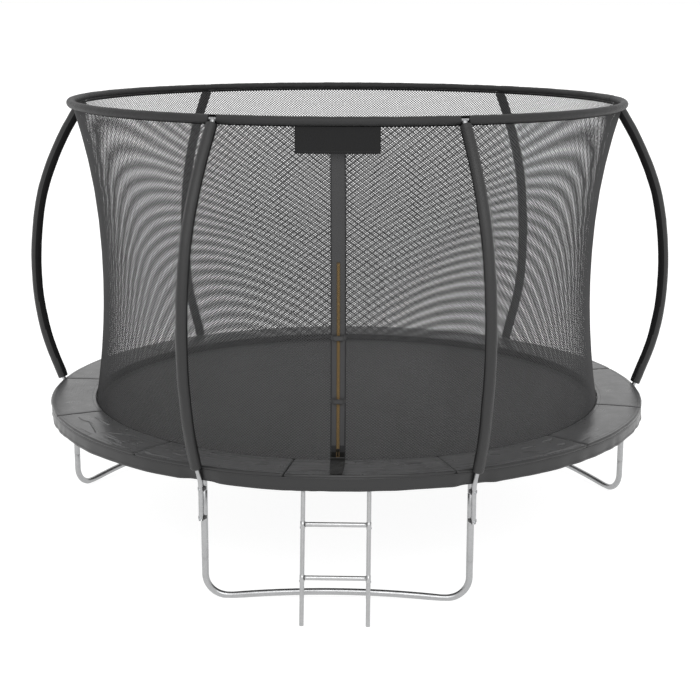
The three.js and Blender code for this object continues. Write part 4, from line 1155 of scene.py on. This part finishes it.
    # skirt: a hanging band of the same cloth, pressed in where it passes behind a pole
    az = np.linspace(180, 540, 1081)
    rows = np.array([0, 0.004, 0.010, 0.022, 0.036, 0.050, 0.060, 0.066, 0.0665, 0.0735])
    top_z = PAD_UNDER + 0.002
    A, D = np.meshgrid(az, rows, indexing="ij")
    f = D / rows[-1]
    ca, sa = np.cos(np.radians(A)), np.sin(np.radians(A))
    wave = nz.at(ca * 9 + 40, sa * 9 + 40) * 0.6 + nz.at(ca * 30 + 80, sa * 30 + 80) * 0.4
    folds = np.sin(nz2.at(ca * 5 + 70, sa * 5 + 70) * 9 + np.radians(A) * 38) * np.clip(nz2.at(ca * 3 + 20, sa * 3 + 20) + 0.25, 0, 1)
    near_pole = np.min(np.stack([np.abs((A - la + 180) % 360 - 180) for la in LEG_AZS]), 0)
    away = np.clip((near_pole - 1.6) / 2.6, 0, 1)
    away = away * away * (3 - 2 * away)
    near_step = np.clip((np.abs((A + 180) % 360 - 180) - 3) / 8, 0, 1)
    lower = SKIRT_PRESSED_R - 0.0006 + (SKIRT_R - SKIRT_PRESSED_R) * away
    R = (PAD_OUTER - 0.0050) + (lower - (PAD_OUTER - 0.0050)) * np.minimum(f, 1)
    side = np.clip((np.abs((A + 180) % 360 - 180) - 48) / 12, 0, 1) * np.clip((112 - np.abs((A + 180) % 360 - 180)) / 12, 0, 1)
    R = R + (wave * 0.0042 + folds * 0.0048) * (1 + 1.1 * side) * f * away * (0.5 + 0.5 * near_step)
    hem = ((D > 0.060) & (D < 0.0735)) * 0.0006
    drop = (nz.at(ca * 5 + 12, sa * 5 + 12) * 0.0036 + np.maximum(nz.at(ca * 13 + 60, sa * 13 + 60) - 0.1, 0) * 0.016 * side) * f
    Z = np.maximum(top_z - D + drop, SKIRT_Z - 0.003)
    outer = pol(R + hem, A, Z)
    inner = pol(R - 0.0014 - hem, A, Z)
    p = Parts()
    slab(p, outer, inner, flip=False, uv=(np.radians(az) * 1.84, rows))
    dirs = np.stack([radial(a_) for a_ in az])
    stitches(p, outer[:, 6], dirs, 0.006, 0.004, 0.0006, mat=1)
    stitches(p, outer[:, 2], dirs, 0.006, 0.004, 0.0006, mat=1)
    ob = p.build("hanging_skirt", [M_SKIRT, M_THREAD], slot="pad_cover")
    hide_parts("pad_skirt")


# ------------------------------------------------------------------ jumping mat and springs
GORES = 24


def mat_and_springs():
    half = 180 / GORES
    rs = np.concatenate([[0.06, 0.13], np.linspace(0.2, 1.50, 34), [1.511, 1.53, 1.55, MAT_R - 0.002, MAT_R]])
    na = 7
    for g in range(GORES):
        az0 = g * 2 * half
        az = np.linspace(az0 - half, az0 + half, na)
        Rg, A = np.meshgrid(rs, az, indexing="ij")
        zt = np.full(Rg.shape, MAT_TOP - 0.0004)
        zt[-1] -= 0.0008
        top, under = pol(Rg, A, zt), pol(Rg, A, MAT_TOP - 0.0030)
        p = Parts()
        nr = len(rs)
        V = np.concatenate([top.reshape(-1, 3), under.reshape(-1, 3), [[0, CY, MAT_TOP - 0.0004], [0, CY, MAT_TOP - 0.0030]]])
        q, ci, cj = grid_faces(nr, na, flip=False)
        K = nr * na
        a_ = np.arange(nr - 1)
        b_ = np.arange(na - 1)
        side0 = np.stack([a_ * na, a_ * na + K, (a_ + 1) * na + K, (a_ + 1) * na], 1)
        side1 = np.stack([(a_ + 1) * na + na - 1, (a_ + 1) * na + na - 1 + K, a_ * na + na - 1 + K, a_ * na + na - 1], 1)
        rim = np.stack([(nr - 1) * na + b_, (nr - 1) * na + b_ + K, (nr - 1) * na + b_ + 1 + K, (nr - 1) * na + b_ + 1], 1)
        ct, cb = 2 * K, 2 * K + 1
        tt = np.stack([np.full(na - 1, ct), b_, b_ + 1], 1)
        tb = np.stack([np.full(na - 1, cb), b_ + 1 + K, b_ + K], 1)
        ts = np.array([[ct, cb, K], [ct, K, 0], [cb, ct, na - 1], [cb, na - 1, na - 1 + K]])
        p.add(V, np.concatenate([q, q[:, ::-1] + K, side0, side1, rim]), np.concatenate([tt, tb, ts]))
        # webbing sewn along the edge, on its top
        rb = np.array([1.508, 1.5085, 1.534, 1.5595, 1.560])
        Rb, Ab = np.meshgrid(rb, az, indexing="ij")
        lift = np.array([0.0, 0.0012, 0.0014, 0.0012, 0.0])[:, None]
        bt, bu = pol(Rb, Ab, MAT_TOP - 0.0004 + lift), pol(Rb, Ab, np.full(Rb.shape, MAT_TOP - 0.0012))
        slab(p, bt, bu, mat=1, uv=(rb, np.radians(az) * 1.53))
        for r_ in (1.513, 1.534, 1.555):
            stitches(p, pol(r_, az, MAT_TOP + 0.0009), UP, 0.006, 0.003, 0.0006, mat=2)
        ob = p.build(f"mat_gore_{g + 1:02d}", [M_MAT, M_BAND, M_THREAD], slot="jump_mat", smooth=False, ride=False)
        e = radial(az0)
        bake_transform(ob)
        if g == 0:
            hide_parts("jump_mat")
        chord = 2 * MAT_R * math.tan(rad(half))

        springs, rings = Parts(), Parts()
        for j in range(3):
            a1 = az0 + (j - 1) * 360 / SPRINGS
            e1, t1 = radial(a1), around(a1)
            o = np.array([0, CY, RAIL_Z])
            # coil
            r0, r1, turns, spt = 1.600, 1.756, 30, 9
            u = np.linspace(0, 1, turns * spt + 1)
            th = 2 * pi * turns * u
            coil = o + np.outer(r0 + (r1 - r0) * u, e1) + 0.0082 * (np.outer(np.cos(th), UP) + np.outer(np.sin(th), t1))
            hook = lambda x0, dirn, reach, rr: [o + e1 * (x0 + dirn * c) + UP * z for c, z in ((0.002, 0.0082), (0.006, 0.004), (0.010, 0.0), (reach - rr, 0.0))] + \
                [o + e1 * (x0 + dirn * (reach - rr + rr * math.sin(a))) + UP * (rr - rr * math.cos(a)) * -1 for a in (pi / 4, pi / 2, 3 * pi / 4, pi)]
            inner = np.array(hook(r0, -1, 0.024, 0.004))
            outer = np.array(hook(r1, 1, 0.022, 0.004))
            path = np.concatenate([inner[::-1], coil, outer])
            T = np.gradient(path, axis=0)
            T /= np.linalg.norm(T, axis=1)[:, None]
            axis_pts = o + np.outer((path - o) @ e1, e1)
            outw = path - axis_pts + 1e-5 * UP
            sweep(springs, path, 0.0018, outw, 5, T=T)
            # wire triangle at the mat's edge
            tri = [(1.562, -0.016), (1.561, -0.0), (1.562, 0.016), (1.5655, 0.0165), (1.5775, 0.0045), (1.5800, 0.0), (1.5775, -0.0045), (1.5655, -0.0165)]
            tri = smooth_path(np.array(tri + tri[:1]), 33, 0.4)
            loop = np.array([o + e1 * a + t1 * b + UP * 0.0006 for a, b in tri])
            sweep(rings, loop, 0.0019, UP, 6)
        ob = springs.build(f"springs_{g + 1:02d}", M_SPRING, slot="spring", ride=False)
        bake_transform(ob)
        if g == 0:
            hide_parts("mat_springs")
        ob = rings.build(f"mat_rings_{g + 1:02d}", M_SPRING, slot="spring", ride=False)
        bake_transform(ob)


# ------------------------------------------------------------------ door: strip, zip, straps, banner
def band_grid(zs, xs, off, wob=0.0):
    """Points of a flat band that follows the net's outside at the front: rows along z, columns along x."""
    Z, X = np.meshgrid(zs, xs, indexing="ij")
    slope = np.gradient(net_r(zs), zs)
    return np.stack([X, CY - (net_r(Z) + off + wob), Z], -1), slope


def door():
    # strip with folded edges, then its tail over the pad
    zs = np.concatenate([np.linspace(0.768, 2.538, 150)])
    xs = np.array([-1, -0.985, -0.90, -0.86, -0.82, -0.4, 0, 0.4, 0.82, 0.86, 0.90, 0.985, 1]) * STRIP_HALF
    lift = np.array([0, 0.7, 1, 0.9, 0.2, 0, 0, 0, 0.2, 0.9, 1, 0.7, 0]) * 0.0011
    wob = 0.0002 * np.sin(zs * 21)[:, None]
    top, _ = band_grid(zs, xs, STRIP_OFF + 0.0006, lift[None] + wob)
    under, _ = band_grid(zs, xs, STRIP_OFF - 0.0004, wob)
    p = Parts()
    slab(p, top, under, flip=True, uv=(zs, xs))
    column = np.arange((len(zs) - 1) * 12) % 12
    height = zs[np.arange((len(zs) - 1) * 12) // 12]
    # painted shade near the pad: the lowest rows take the tail's black cloth and the rows above them the strip's darker
    # edge colour, which also runs along both folded edges
    p.I4[-1][:len(column)] = np.where(height < 0.795, 3, np.where((column < 3) | (column > 8) | (height < 0.83), 2, 0))
    for x in (-0.0345, 0.0345):
        line = np.stack([np.full(len(zs), x), CY - (net_r(zs) + STRIP_OFF + 0.0018), zs], 1)
        stitches(p, line, (0, -1, 0), 0.005, 0.0035, 0.00055, mat=1)
    ob = p.build("door_facing", [M_STRIP, M_THREAD, M_STRIP_EDGE_AND_SHADE, M_TAIL_CLOTH_AND_SHADE], slot="door_webbing", ride=False)
    dishing(ob)
    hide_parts("door_strip")

    n = 34
    u = np.linspace(0, 1, n)
    r_in, r_out = float(net_r(0.766)) + STRIP_OFF, PAD_OUTER - 0.014
    rr = r_in + 0.012 + (r_out - r_in - 0.012) * u
    width = STRIP_HALF - 0.0005 - 0.008 * u ** 2
    X = np.linspace(-1, 1, 13)[None] * width[:, None]
    rim = np.clip((1 - np.abs(np.linspace(-1, 1, 13))) * 10, 0, 1)[None]
    nz = Noise(55)
    z = PAD_TOP + 0.0034 + 0.0010 * nz.at(u[:, None] * 9 + X * 30, X * 40 + 7) * rim + 0.012 * np.exp(-u / 0.05)[:, None]
    top = np.stack([X, CY - np.broadcast_to(rr[:, None], X.shape), z], -1)
    under = top - np.array([0, 0, 0.0012])
    p = Parts()
    slab(p, top, under, flip=True, uv=(rr, np.linspace(-1, 1, 13) * STRIP_HALF))
    ob = p.build("door_tail", M_TAIL_CLOTH_AND_SHADE, slot="door_webbing")

    # zip: cloth tape and two rows of moulded coil
    zs = np.linspace(ZIP_Z[0], ZIP_Z[1], 120)
    xs = np.array([-1, -0.94, 0, 0.94, 1]) * ZIP_HALF
    p = Parts()
    top, _ = band_grid(zs, xs, ZIP_OFF + 0.0001, np.array([0, 0.0004, 0.0004, 0.0004, 0])[None])
    under, _ = band_grid(zs, xs, ZIP_OFF - 0.0006)
    slab(p, top, under, flip=True, uv=(zs, xs))
    pitch = 0.0042
    count = int((ZIP_Z[1] - ZIP_Z[0] - 0.006) / pitch)
    a = np.linspace(0, 2 * pi, 11)[:-1]
    for side in (-1, 1):
        for i in range(count):
            z0 = ZIP_Z[0] + 0.004 + pitch * (i + (0.5 if side > 0 else 0))
            cx = side * 0.0029
            loop = np.stack([cx + 0.0042 * np.cos(a), 0.0011 + 0.0009 * np.sin(a), 0.0011 * np.cos(a) * side], 1)
            y = CY - (float(net_r(z0)) + ZIP_OFF + loop[:, 1])
            C = np.stack([loop[:, 0], y, z0 + loop[:, 2]], 1)
            C = np.concatenate([C, C[:1]])
            ring_up = np.array([0, 0, 1.0])
            n_ = len(C)
            T = np.roll(C[:-1], -1, 0) - np.roll(C[:-1], 1, 0)
            T = np.concatenate([T, T[:1]])
            sweep(p, C, 0.00095, ring_up, 5, T=T, caps=(None, None), mat=1)
    ob = p.build("zip_coil", [M_ZIPTAPE, M_ZIP], slot="zip_coil", ride=False)
    dishing(ob)
    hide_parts("zip_track")
    # end stops
    p = Parts()
    for z0 in (ZIP_Z[0] + 0.001, ZIP_Z[1] - 0.001):
        r0 = float(net_r(z0)) + ZIP_OFF
        block(p, [(-0.0065, -0.003), (0.0065, -0.003), (0.0065, 0.003), (-0.0065, 0.003)], (0.0002, 0.0024),
              placed((0, CY - r0, z0), (1, 0, 0), (0, 0, 1), (0, -1, 0)), 0.0006)
    ob = p.build("zip_stops", M_ZIPTAPE, slot="zip_metal", ride=False)
    dishing(ob)

    # slider and pull
    zc = 0.5 * (SLIDER_Z[0] + SLIDER_Z[1])
    r0 = float(net_r(zc))
    th = math.atan((zc - 1.504) / 4.416)
    outd = np.array([0, -math.cos(th), math.sin(th)])
    upd = np.array([0, math.sin(th), math.cos(th)])
    at = np.array([0, CY - r0, zc])
    shield = []
    for a_ in np.linspace(0, pi, 9):
        shield.append((0.0098 * math.cos(a_), 0.0045 + 0.0080 * math.sin(a_)))
    for a_ in np.linspace(pi, 2 * pi, 9):
        shield.append((0.0062 * math.cos(a_), -0.0085 + 0.0040 * math.sin(a_)))
    M = placed(at, (1, 0, 0), upd, outd)
    p = Parts()
    block(p, shield, (SLIDER_OFF + 0.0002, SLIDER_OFF + 0.0022), M, 0.0006)
    for sx in (-1, 1):
        rail = [(sx * 0.0099, 0.004), (sx * 0.0086, 0.0045), (sx * 0.0055, -0.010), (sx * 0.0064, -0.0105)]
        block(p, rail, (SLIDER_OFF - 0.0006, SLIDER_OFF + 0.0018), M, 0.0002)
    # crown that holds the pull
    crown = np.array([(-0.0085, 0.0020), (-0.0070, 0.0040), (-0.0035, 0.0054), (0.0015, 0.0054), (0.0060, 0.0040), (0.0078, 0.0020)])
    C = at + np.outer(crown[:, 0], upd) + np.outer(SLIDER_OFF + crown[:, 1], outd)
    sweep(p, smooth_path(C, 24), 0.00095, (1, 0, 0), 10)
    ob = p.build("slider_body", M_ZINC, body="zip_slider", slot="zip_metal")
    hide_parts("zip_slider")

    zt, zb = PULL_Z[1], PULL_Z[0]
    p = Parts()
    rp = float(net_r(0.5 * (zt + zb))) + PULL_OFF
    zm = 0.5 * (zt + zb)
    th = math.atan((zm - 1.504) / 4.416)
    outd = np.array([0, -math.cos(th), math.sin(th)])
    upd = np.array([0, math.sin(th), math.cos(th)])
    at = np.array([0, CY - rp, zm])
    hl = 0.5 * (zt - zb)
    outline = [(-0.0030, hl - 0.0035), (-0.0022, hl - 0.0012), (0, hl - 0.0003), (0.0022, hl - 0.0012), (0.0030, hl - 0.0035),
               (0.0026, hl - 0.010), (0.0043, hl - 0.016), (0.0044, -hl + 0.004), (0.0034, -hl + 0.0012), (0.0, -hl + 0.0003),
               (-0.0034, -hl + 0.0012), (-0.0044, -hl + 0.004), (-0.0043, hl - 0.016), (-0.0026, hl - 0.010)]
    M = placed(at, (1, 0, 0), upd, outd)
    block(p, outline, (0.0002, 0.0018), M, 0.0004)
    inner = [(0.55 * x, 0.55 * (y + 0.006) - 0.006) for x, y in outline[6:13]]
    block(p, [(x, y) for x, y in ((-0.0026, -0.014), (0.0026, -0.014), (0.0026, -0.002), (-0.0026, -0.002))], (0.0016, 0.0022), M, 0.0003)
    ob = p.build("pull_tab", M_ZINC, body="zip_pull", slot="zip_metal")
    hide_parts("zip_pull")

    # closing straps, arched over the slider's way, with a sewn left end and a stitched line near the right end
    for k, z0 in enumerate(STRAP_Z):
        th = math.atan((z0 - 1.504) / 4.416)
        outd = np.array([0, -math.cos(th), math.sin(th)])
        upd = np.array([0, math.sin(th), math.cos(th)])
        at = np.array([0, CY - (float(net_r(z0)) + STRIP_OFF + STRIP_T), z0])
        ctrl = np.array([(-STRAP_HALF, 0.0006), (-0.036, 0.0006), (-0.031, 0.0009), (-0.0265, 0.0062), (-0.0215, STRAP_RISE - 0.0012), (-0.014, STRAP_RISE + 0.0004),
                         (0, STRAP_RISE + 0.0009), (0.014, STRAP_RISE + 0.0004), (0.0215, STRAP_RISE - 0.0012), (0.0265, 0.0062), (0.031, 0.0009), (0.036, 0.0006), (STRAP_HALF, 0.0006)])
        line = smooth_path(ctrl, 60)
        d = np.gradient(line, axis=0)
        d /= np.linalg.norm(d, axis=1)[:, None]
        nrm = np.stack([-d[:, 1], d[:, 0]], 1)
        cols = np.array([-1, -0.96, -0.82, -0.68, 0, 0.68, 0.82, 0.96, 1]) * STRAP_H / 2
        thick = np.array([0.0009, 0.0017, 0.0019, 0.0015, 0.0014, 0.0015, 0.0019, 0.0017, 0.0009])

        def pts(offs):
            xy = line[:, None] + nrm[:, None] * offs[None, :, None]
            return at + xy[..., :1] * np.array([1.0, 0, 0]) + xy[..., 1:] * outd + cols[None, :, None] * upd

        p = Parts()
        slab(p, pts(thick), pts(np.zeros(9)), flip=True, uv=(lengths(line), cols))
        # painted shade: the strap's top and bottom rows take a darker colour for the shade lines along the raised strap
        column = np.arange((len(line) - 1) * 8) % 8
        p.I4[-1][:len(column)] = np.where((column < 3) | (column > 4), 2, 0)
        # box stitching at the sewn end and a line near the free end
        zz = STRAP_H / 2 - 0.004
        for a_, b_ in (((-0.0395, -zz), (-0.0395, zz)), ((-0.0395, zz), (-0.0325, zz)), ((-0.0325, zz), (-0.0325, -zz)), ((-0.0325, -zz), (-0.0395, -zz)),
                       ((-0.0395, -zz), (-0.0325, zz)), ((0.0385, -zz), (0.0385, zz))):
            f_ = np.linspace(0, 1, 8)[:, None]
            xy = np.array(a_) * (1 - f_) + np.array(b_) * f_
            C = at + xy[:, :1] * np.array([1.0, 0, 0]) + 0.0021 * outd + xy[:, 1:] * upd
            stitches(p, C, outd, 0.003, 0.0015, 0.00045, mat=1)
        label = ("lower", "upper")[k]
        ob = p.build(f"strap_{label}", [M_STRAP, M_THREAD, M_STRAP_SHADE], body=f"door_strap_{label}", slot="door_webbing")
        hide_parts(f"door_strap_{label}")

    # blank banner sewn below the hoop
    az = np.linspace(-BANNER_AZ, BANNER_AZ, 60)
    zs = np.concatenate([[BANNER_Z[0], BANNER_Z[0] + 0.0008, BANNER_Z[0] + 0.012, BANNER_Z[0] + 0.0128], np.linspace(BANNER_Z[0] + 0.016, BANNER_Z[1] - 0.002, 20), [BANNER_Z[1]]])
    A, Z = np.meshgrid(az, zs, indexing="ij")
    nz = Noise(77)
    f = (BANNER_Z[1] - Z) / (BANNER_Z[1] - BANNER_Z[0])
    wave = 0.0022 * nz.fbm(A * 0.35 + 20, Z * 7, 2) * f
    side = np.minimum(A - az[0], az[-1] - A) * 0.029
    hem = 0.0008 * ((Z - BANNER_Z[0] < 0.0125) | (side < 0.010)) * (np.minimum(side, Z - BANNER_Z[0]) > 0.0005)
    R = BANNER_R + 0.0010 + wave * 0.5
    p = Parts()
    slab(p, pol(R + 0.0008 + hem, A, Z), pol(R - 0.0004, A, Z), flip=True, uv=(np.radians(az) * BANNER_R, zs))
    for zrow in (2,):
        stitches(p, pol((R + 0.0016)[2:-2, zrow], az[2:-2], zs[zrow]), np.stack([radial(a_) for a_ in az[2:-2]]), 0.005, 0.003, 0.0005, mat=1)
    ob = p.build("banner_cloth", [M_BANNER, M_THREAD], slot="banner_cloth")
    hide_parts("banner")


M_ZIPTAPE = webbing("zip_tape", (0.055, 0.038, 0.018), 0.0012, 0.8, "u")


# ------------------------------------------------------------------ ladder
def ladder():
    hook_y = -math.sqrt(RAIL_R ** 2 - LADDER_HALF ** 2)
    lean = np.array([0, -LADDER_FOOT_R - hook_y, -RAIL_Z])
    lean /= np.linalg.norm(lean)

    def line_at(x, z):
        return np.array([x, CY + hook_y + lean[1] / lean[2] * (z - RAIL_Z), z])

    for side, label in ((-1, "left"), (1, "right")):
        x = side * LADDER_HALF
        top = np.array([x, CY + hook_y, RAIL_Z]) + lean * 0.0240
        p = Parts()
        zs = np.linspace(top[2], 0.0065, 40)
        C = np.array([line_at(x, z) for z in zs])
        N = np.array([1.0, 0, 0])
        sweep(p, C, LADDER_TUBE_R, N, 24, caps=("flat", None))
        # foot plug, cut level with the floor
        T = C[-1] - C[-2]
        T /= np.linalg.norm(T)
        B = np.cross(T, N)
        phi = 2 * pi * np.arange(24) / 24
        ring = C[-1] + LADDER_TUBE_R * (np.cos(phi)[:, None] * N + np.sin(phi)[:, None] * B)
        floor = ring + np.outer((0.0004 - ring[:, 2]) / T[2], T)
        inner = floor + (floor.mean(0) - floor) * 0.13
        G = np.stack([ring, floor, inner])
        q, ci, cj = grid_faces(3, 24, wrap=True, flip=True)
        p.add(G, q, None, None, None, 0)
        tri = np.stack([np.roll(np.arange(24), -1), np.arange(24), np.full(24, 24)], 1)
        p.add(np.concatenate([inner, [inner.mean(0)]]), None, tri, None, None, 1)
        # hook of flat bar over the rail, with its weld
        a = np.radians(np.linspace(268, -25, 40))
        mid = 0.0230
        path = np.stack([np.full(40, x), CY + hook_y + mid * np.cos(a), RAIL_Z + mid * np.sin(a)], 1)
        Tt = np.gradient(path, axis=0)
        Tt /= np.linalg.norm(Tt, axis=1)[:, None]
        nr = np.cross(Tt, [1.0, 0, 0])
        w, t = 0.0118, 0.0021
        sec = np.array([(-w, -t), (-w, t), (w, t), (w, -t)])
        V = path[:, None] + sec[None, :, :1] * np.array([1.0, 0, 0]) + sec[None, :, 1:] * nr[:, None]
        q, ci, cj = grid_faces(40, 4, wrap=True)
        caps = np.array([[0, 1, 2, 3], [159, 158, 157, 156]])
        p.add(V, np.concatenate([q, caps]), None, None, None, 0)
        bead_a = np.linspace(0, 2 * pi, 33)
        c0 = C[0] + lean * 0.0012
        bead = c0 + 0.0122 * (np.cos(bead_a)[:, None] * N + np.sin(bead_a)[:, None] * np.cross(lean, N))
        sweep(p, bead, 0.0017, lean, 8)
        ob = p.build(f"ladder_rail_{label}", [M_LADDER, M_RUBBER], body="ladder", slot="ladder_tube")
        md = ob.modifiers.new("edges", "BEVEL")
        md.width, md.segments, md.limit_method, md.angle_limit = 0.0006, 2, "ANGLE", rad(50)
        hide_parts(f"ladder_upright_{label}")
    for k, z in enumerate(STEP_Z):
        p = Parts()
        w = LADDER_HALF - LADDER_TUBE_R - 0.0006
        n = 30
        xs = np.linspace(-w, w, n)
        C = np.array([line_at(x_, z) for x_ in xs])
        sweep(p, C, STEP_R - 0.0003, UP, 24)
        for side in (-1, 1):
            # collar round the upright, welded to the step
            zz = np.array([z + 0.0155, z + 0.0148, z - 0.022, z - 0.0227])
            C = np.array([line_at(side * LADDER_HALF, q_) for q_ in zz])
            sweep(p, C, np.array([0.0122, 0.0133, 0.0133, 0.0122]), (1, 0, 0), 24, caps=("flat", "flat"))
            a = np.linspace(0, 2 * pi, 33)
            c0 = line_at(side * (LADDER_HALF - 0.0128), z)
            bead = c0 + 0.0131 * (np.cos(a)[:, None] * UP + np.sin(a)[:, None] * np.array([0, 1.0, 0])) + np.outer(-side * -1 * 0.0035 * np.abs(np.sin(a)), (-side, 0, 0)) * -1
            sweep(p, bead, 0.0015, (1, 0, 0), 8)
            # fixing screw through the collar
            q0 = line_at(side * LADDER_HALF, z - 0.016)
            out = np.array([side * 1.0, 0, 0])
            prof = np.array([(0.0130, 0.0040), (0.0142, 0.0039), (0.0152, 0.0028), (0.0156, 0.0003)])
            sweep(p, q0 + np.outer(prof[:, 0], out), prof[:, 1], UP, 14, T=np.tile(out, (4, 1)), caps=(None, "flat"), mat=1)
        label = ("lower", "upper")[k]
        ob = p.build(f"ladder_rung_{label}", [M_LADDER, M_BOLT], body="ladder", slot="ladder_tube")
        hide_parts(f"ladder_step_{label}")


# ------------------------------------------------------------------ stage and light
def stage():
    m = Mat("studio_floor", roughness=0.9, specular=0.05)
    cloud = m.noise(m.coords(), 0.6, 2.0)
    m.link(m.mix(cloud, (0.29, 0.29, 0.29), (0.31, 0.31, 0.31)), "Base Color")
    m.link(m.mix(cloud, (0.99, 0.99, 0.99), (1.0, 1.0, 1.0)), "Emission Color")
    m.p.inputs["Emission Strength"].default_value = 0.90
    s = 1500.0
    me = bpy.data.meshes.new("studio_floor")
    me.from_pydata([(-s, -s, 0), (s, -s, 0), (s, s, 0), (-s, s, 0)], [], [(0, 1, 2, 3)])
    me.materials.append(m.m)
    floor = bpy.data.objects.new("studio_floor", me)
    bpy.context.scene.collection.objects.link(floor)
    w = bpy.data.worlds.new("studio")
    bpy.context.scene.world = w
    w.use_nodes = True
    bg = w.node_tree.nodes["Background"]
    bg.inputs[0].default_value = (1, 1, 1, 1)
    bg.inputs[1].default_value = 1.0
    # one soft light over the camera; the white surroundings do the rest
    for name, at, aim, size, power in (("front", (0.5, -7.5, 6.5), (0, 0, 1.0), 6.0, 260),):
        data = bpy.data.lights.new(name, "AREA")
        data.shape, data.size, data.energy = "DISK", size, power
        ob = bpy.data.objects.new(name, data)
        bpy.context.scene.collection.objects.link(ob)
        ob.location = at
        ob.rotation_mode = "QUATERNION"
        ob.rotation_quaternion = (Vector(aim) - Vector(at)).to_track_quat("-Z", "Y")
    vs = bpy.context.scene.view_settings
    vs.view_transform = "Standard"
    vs.look = "None"
    vs.exposure, vs.gamma = 0, 1


steel_frame()
enclosure_poles()
hoop()
net()
pad()
mat_and_springs()
door()
ladder()
stage()
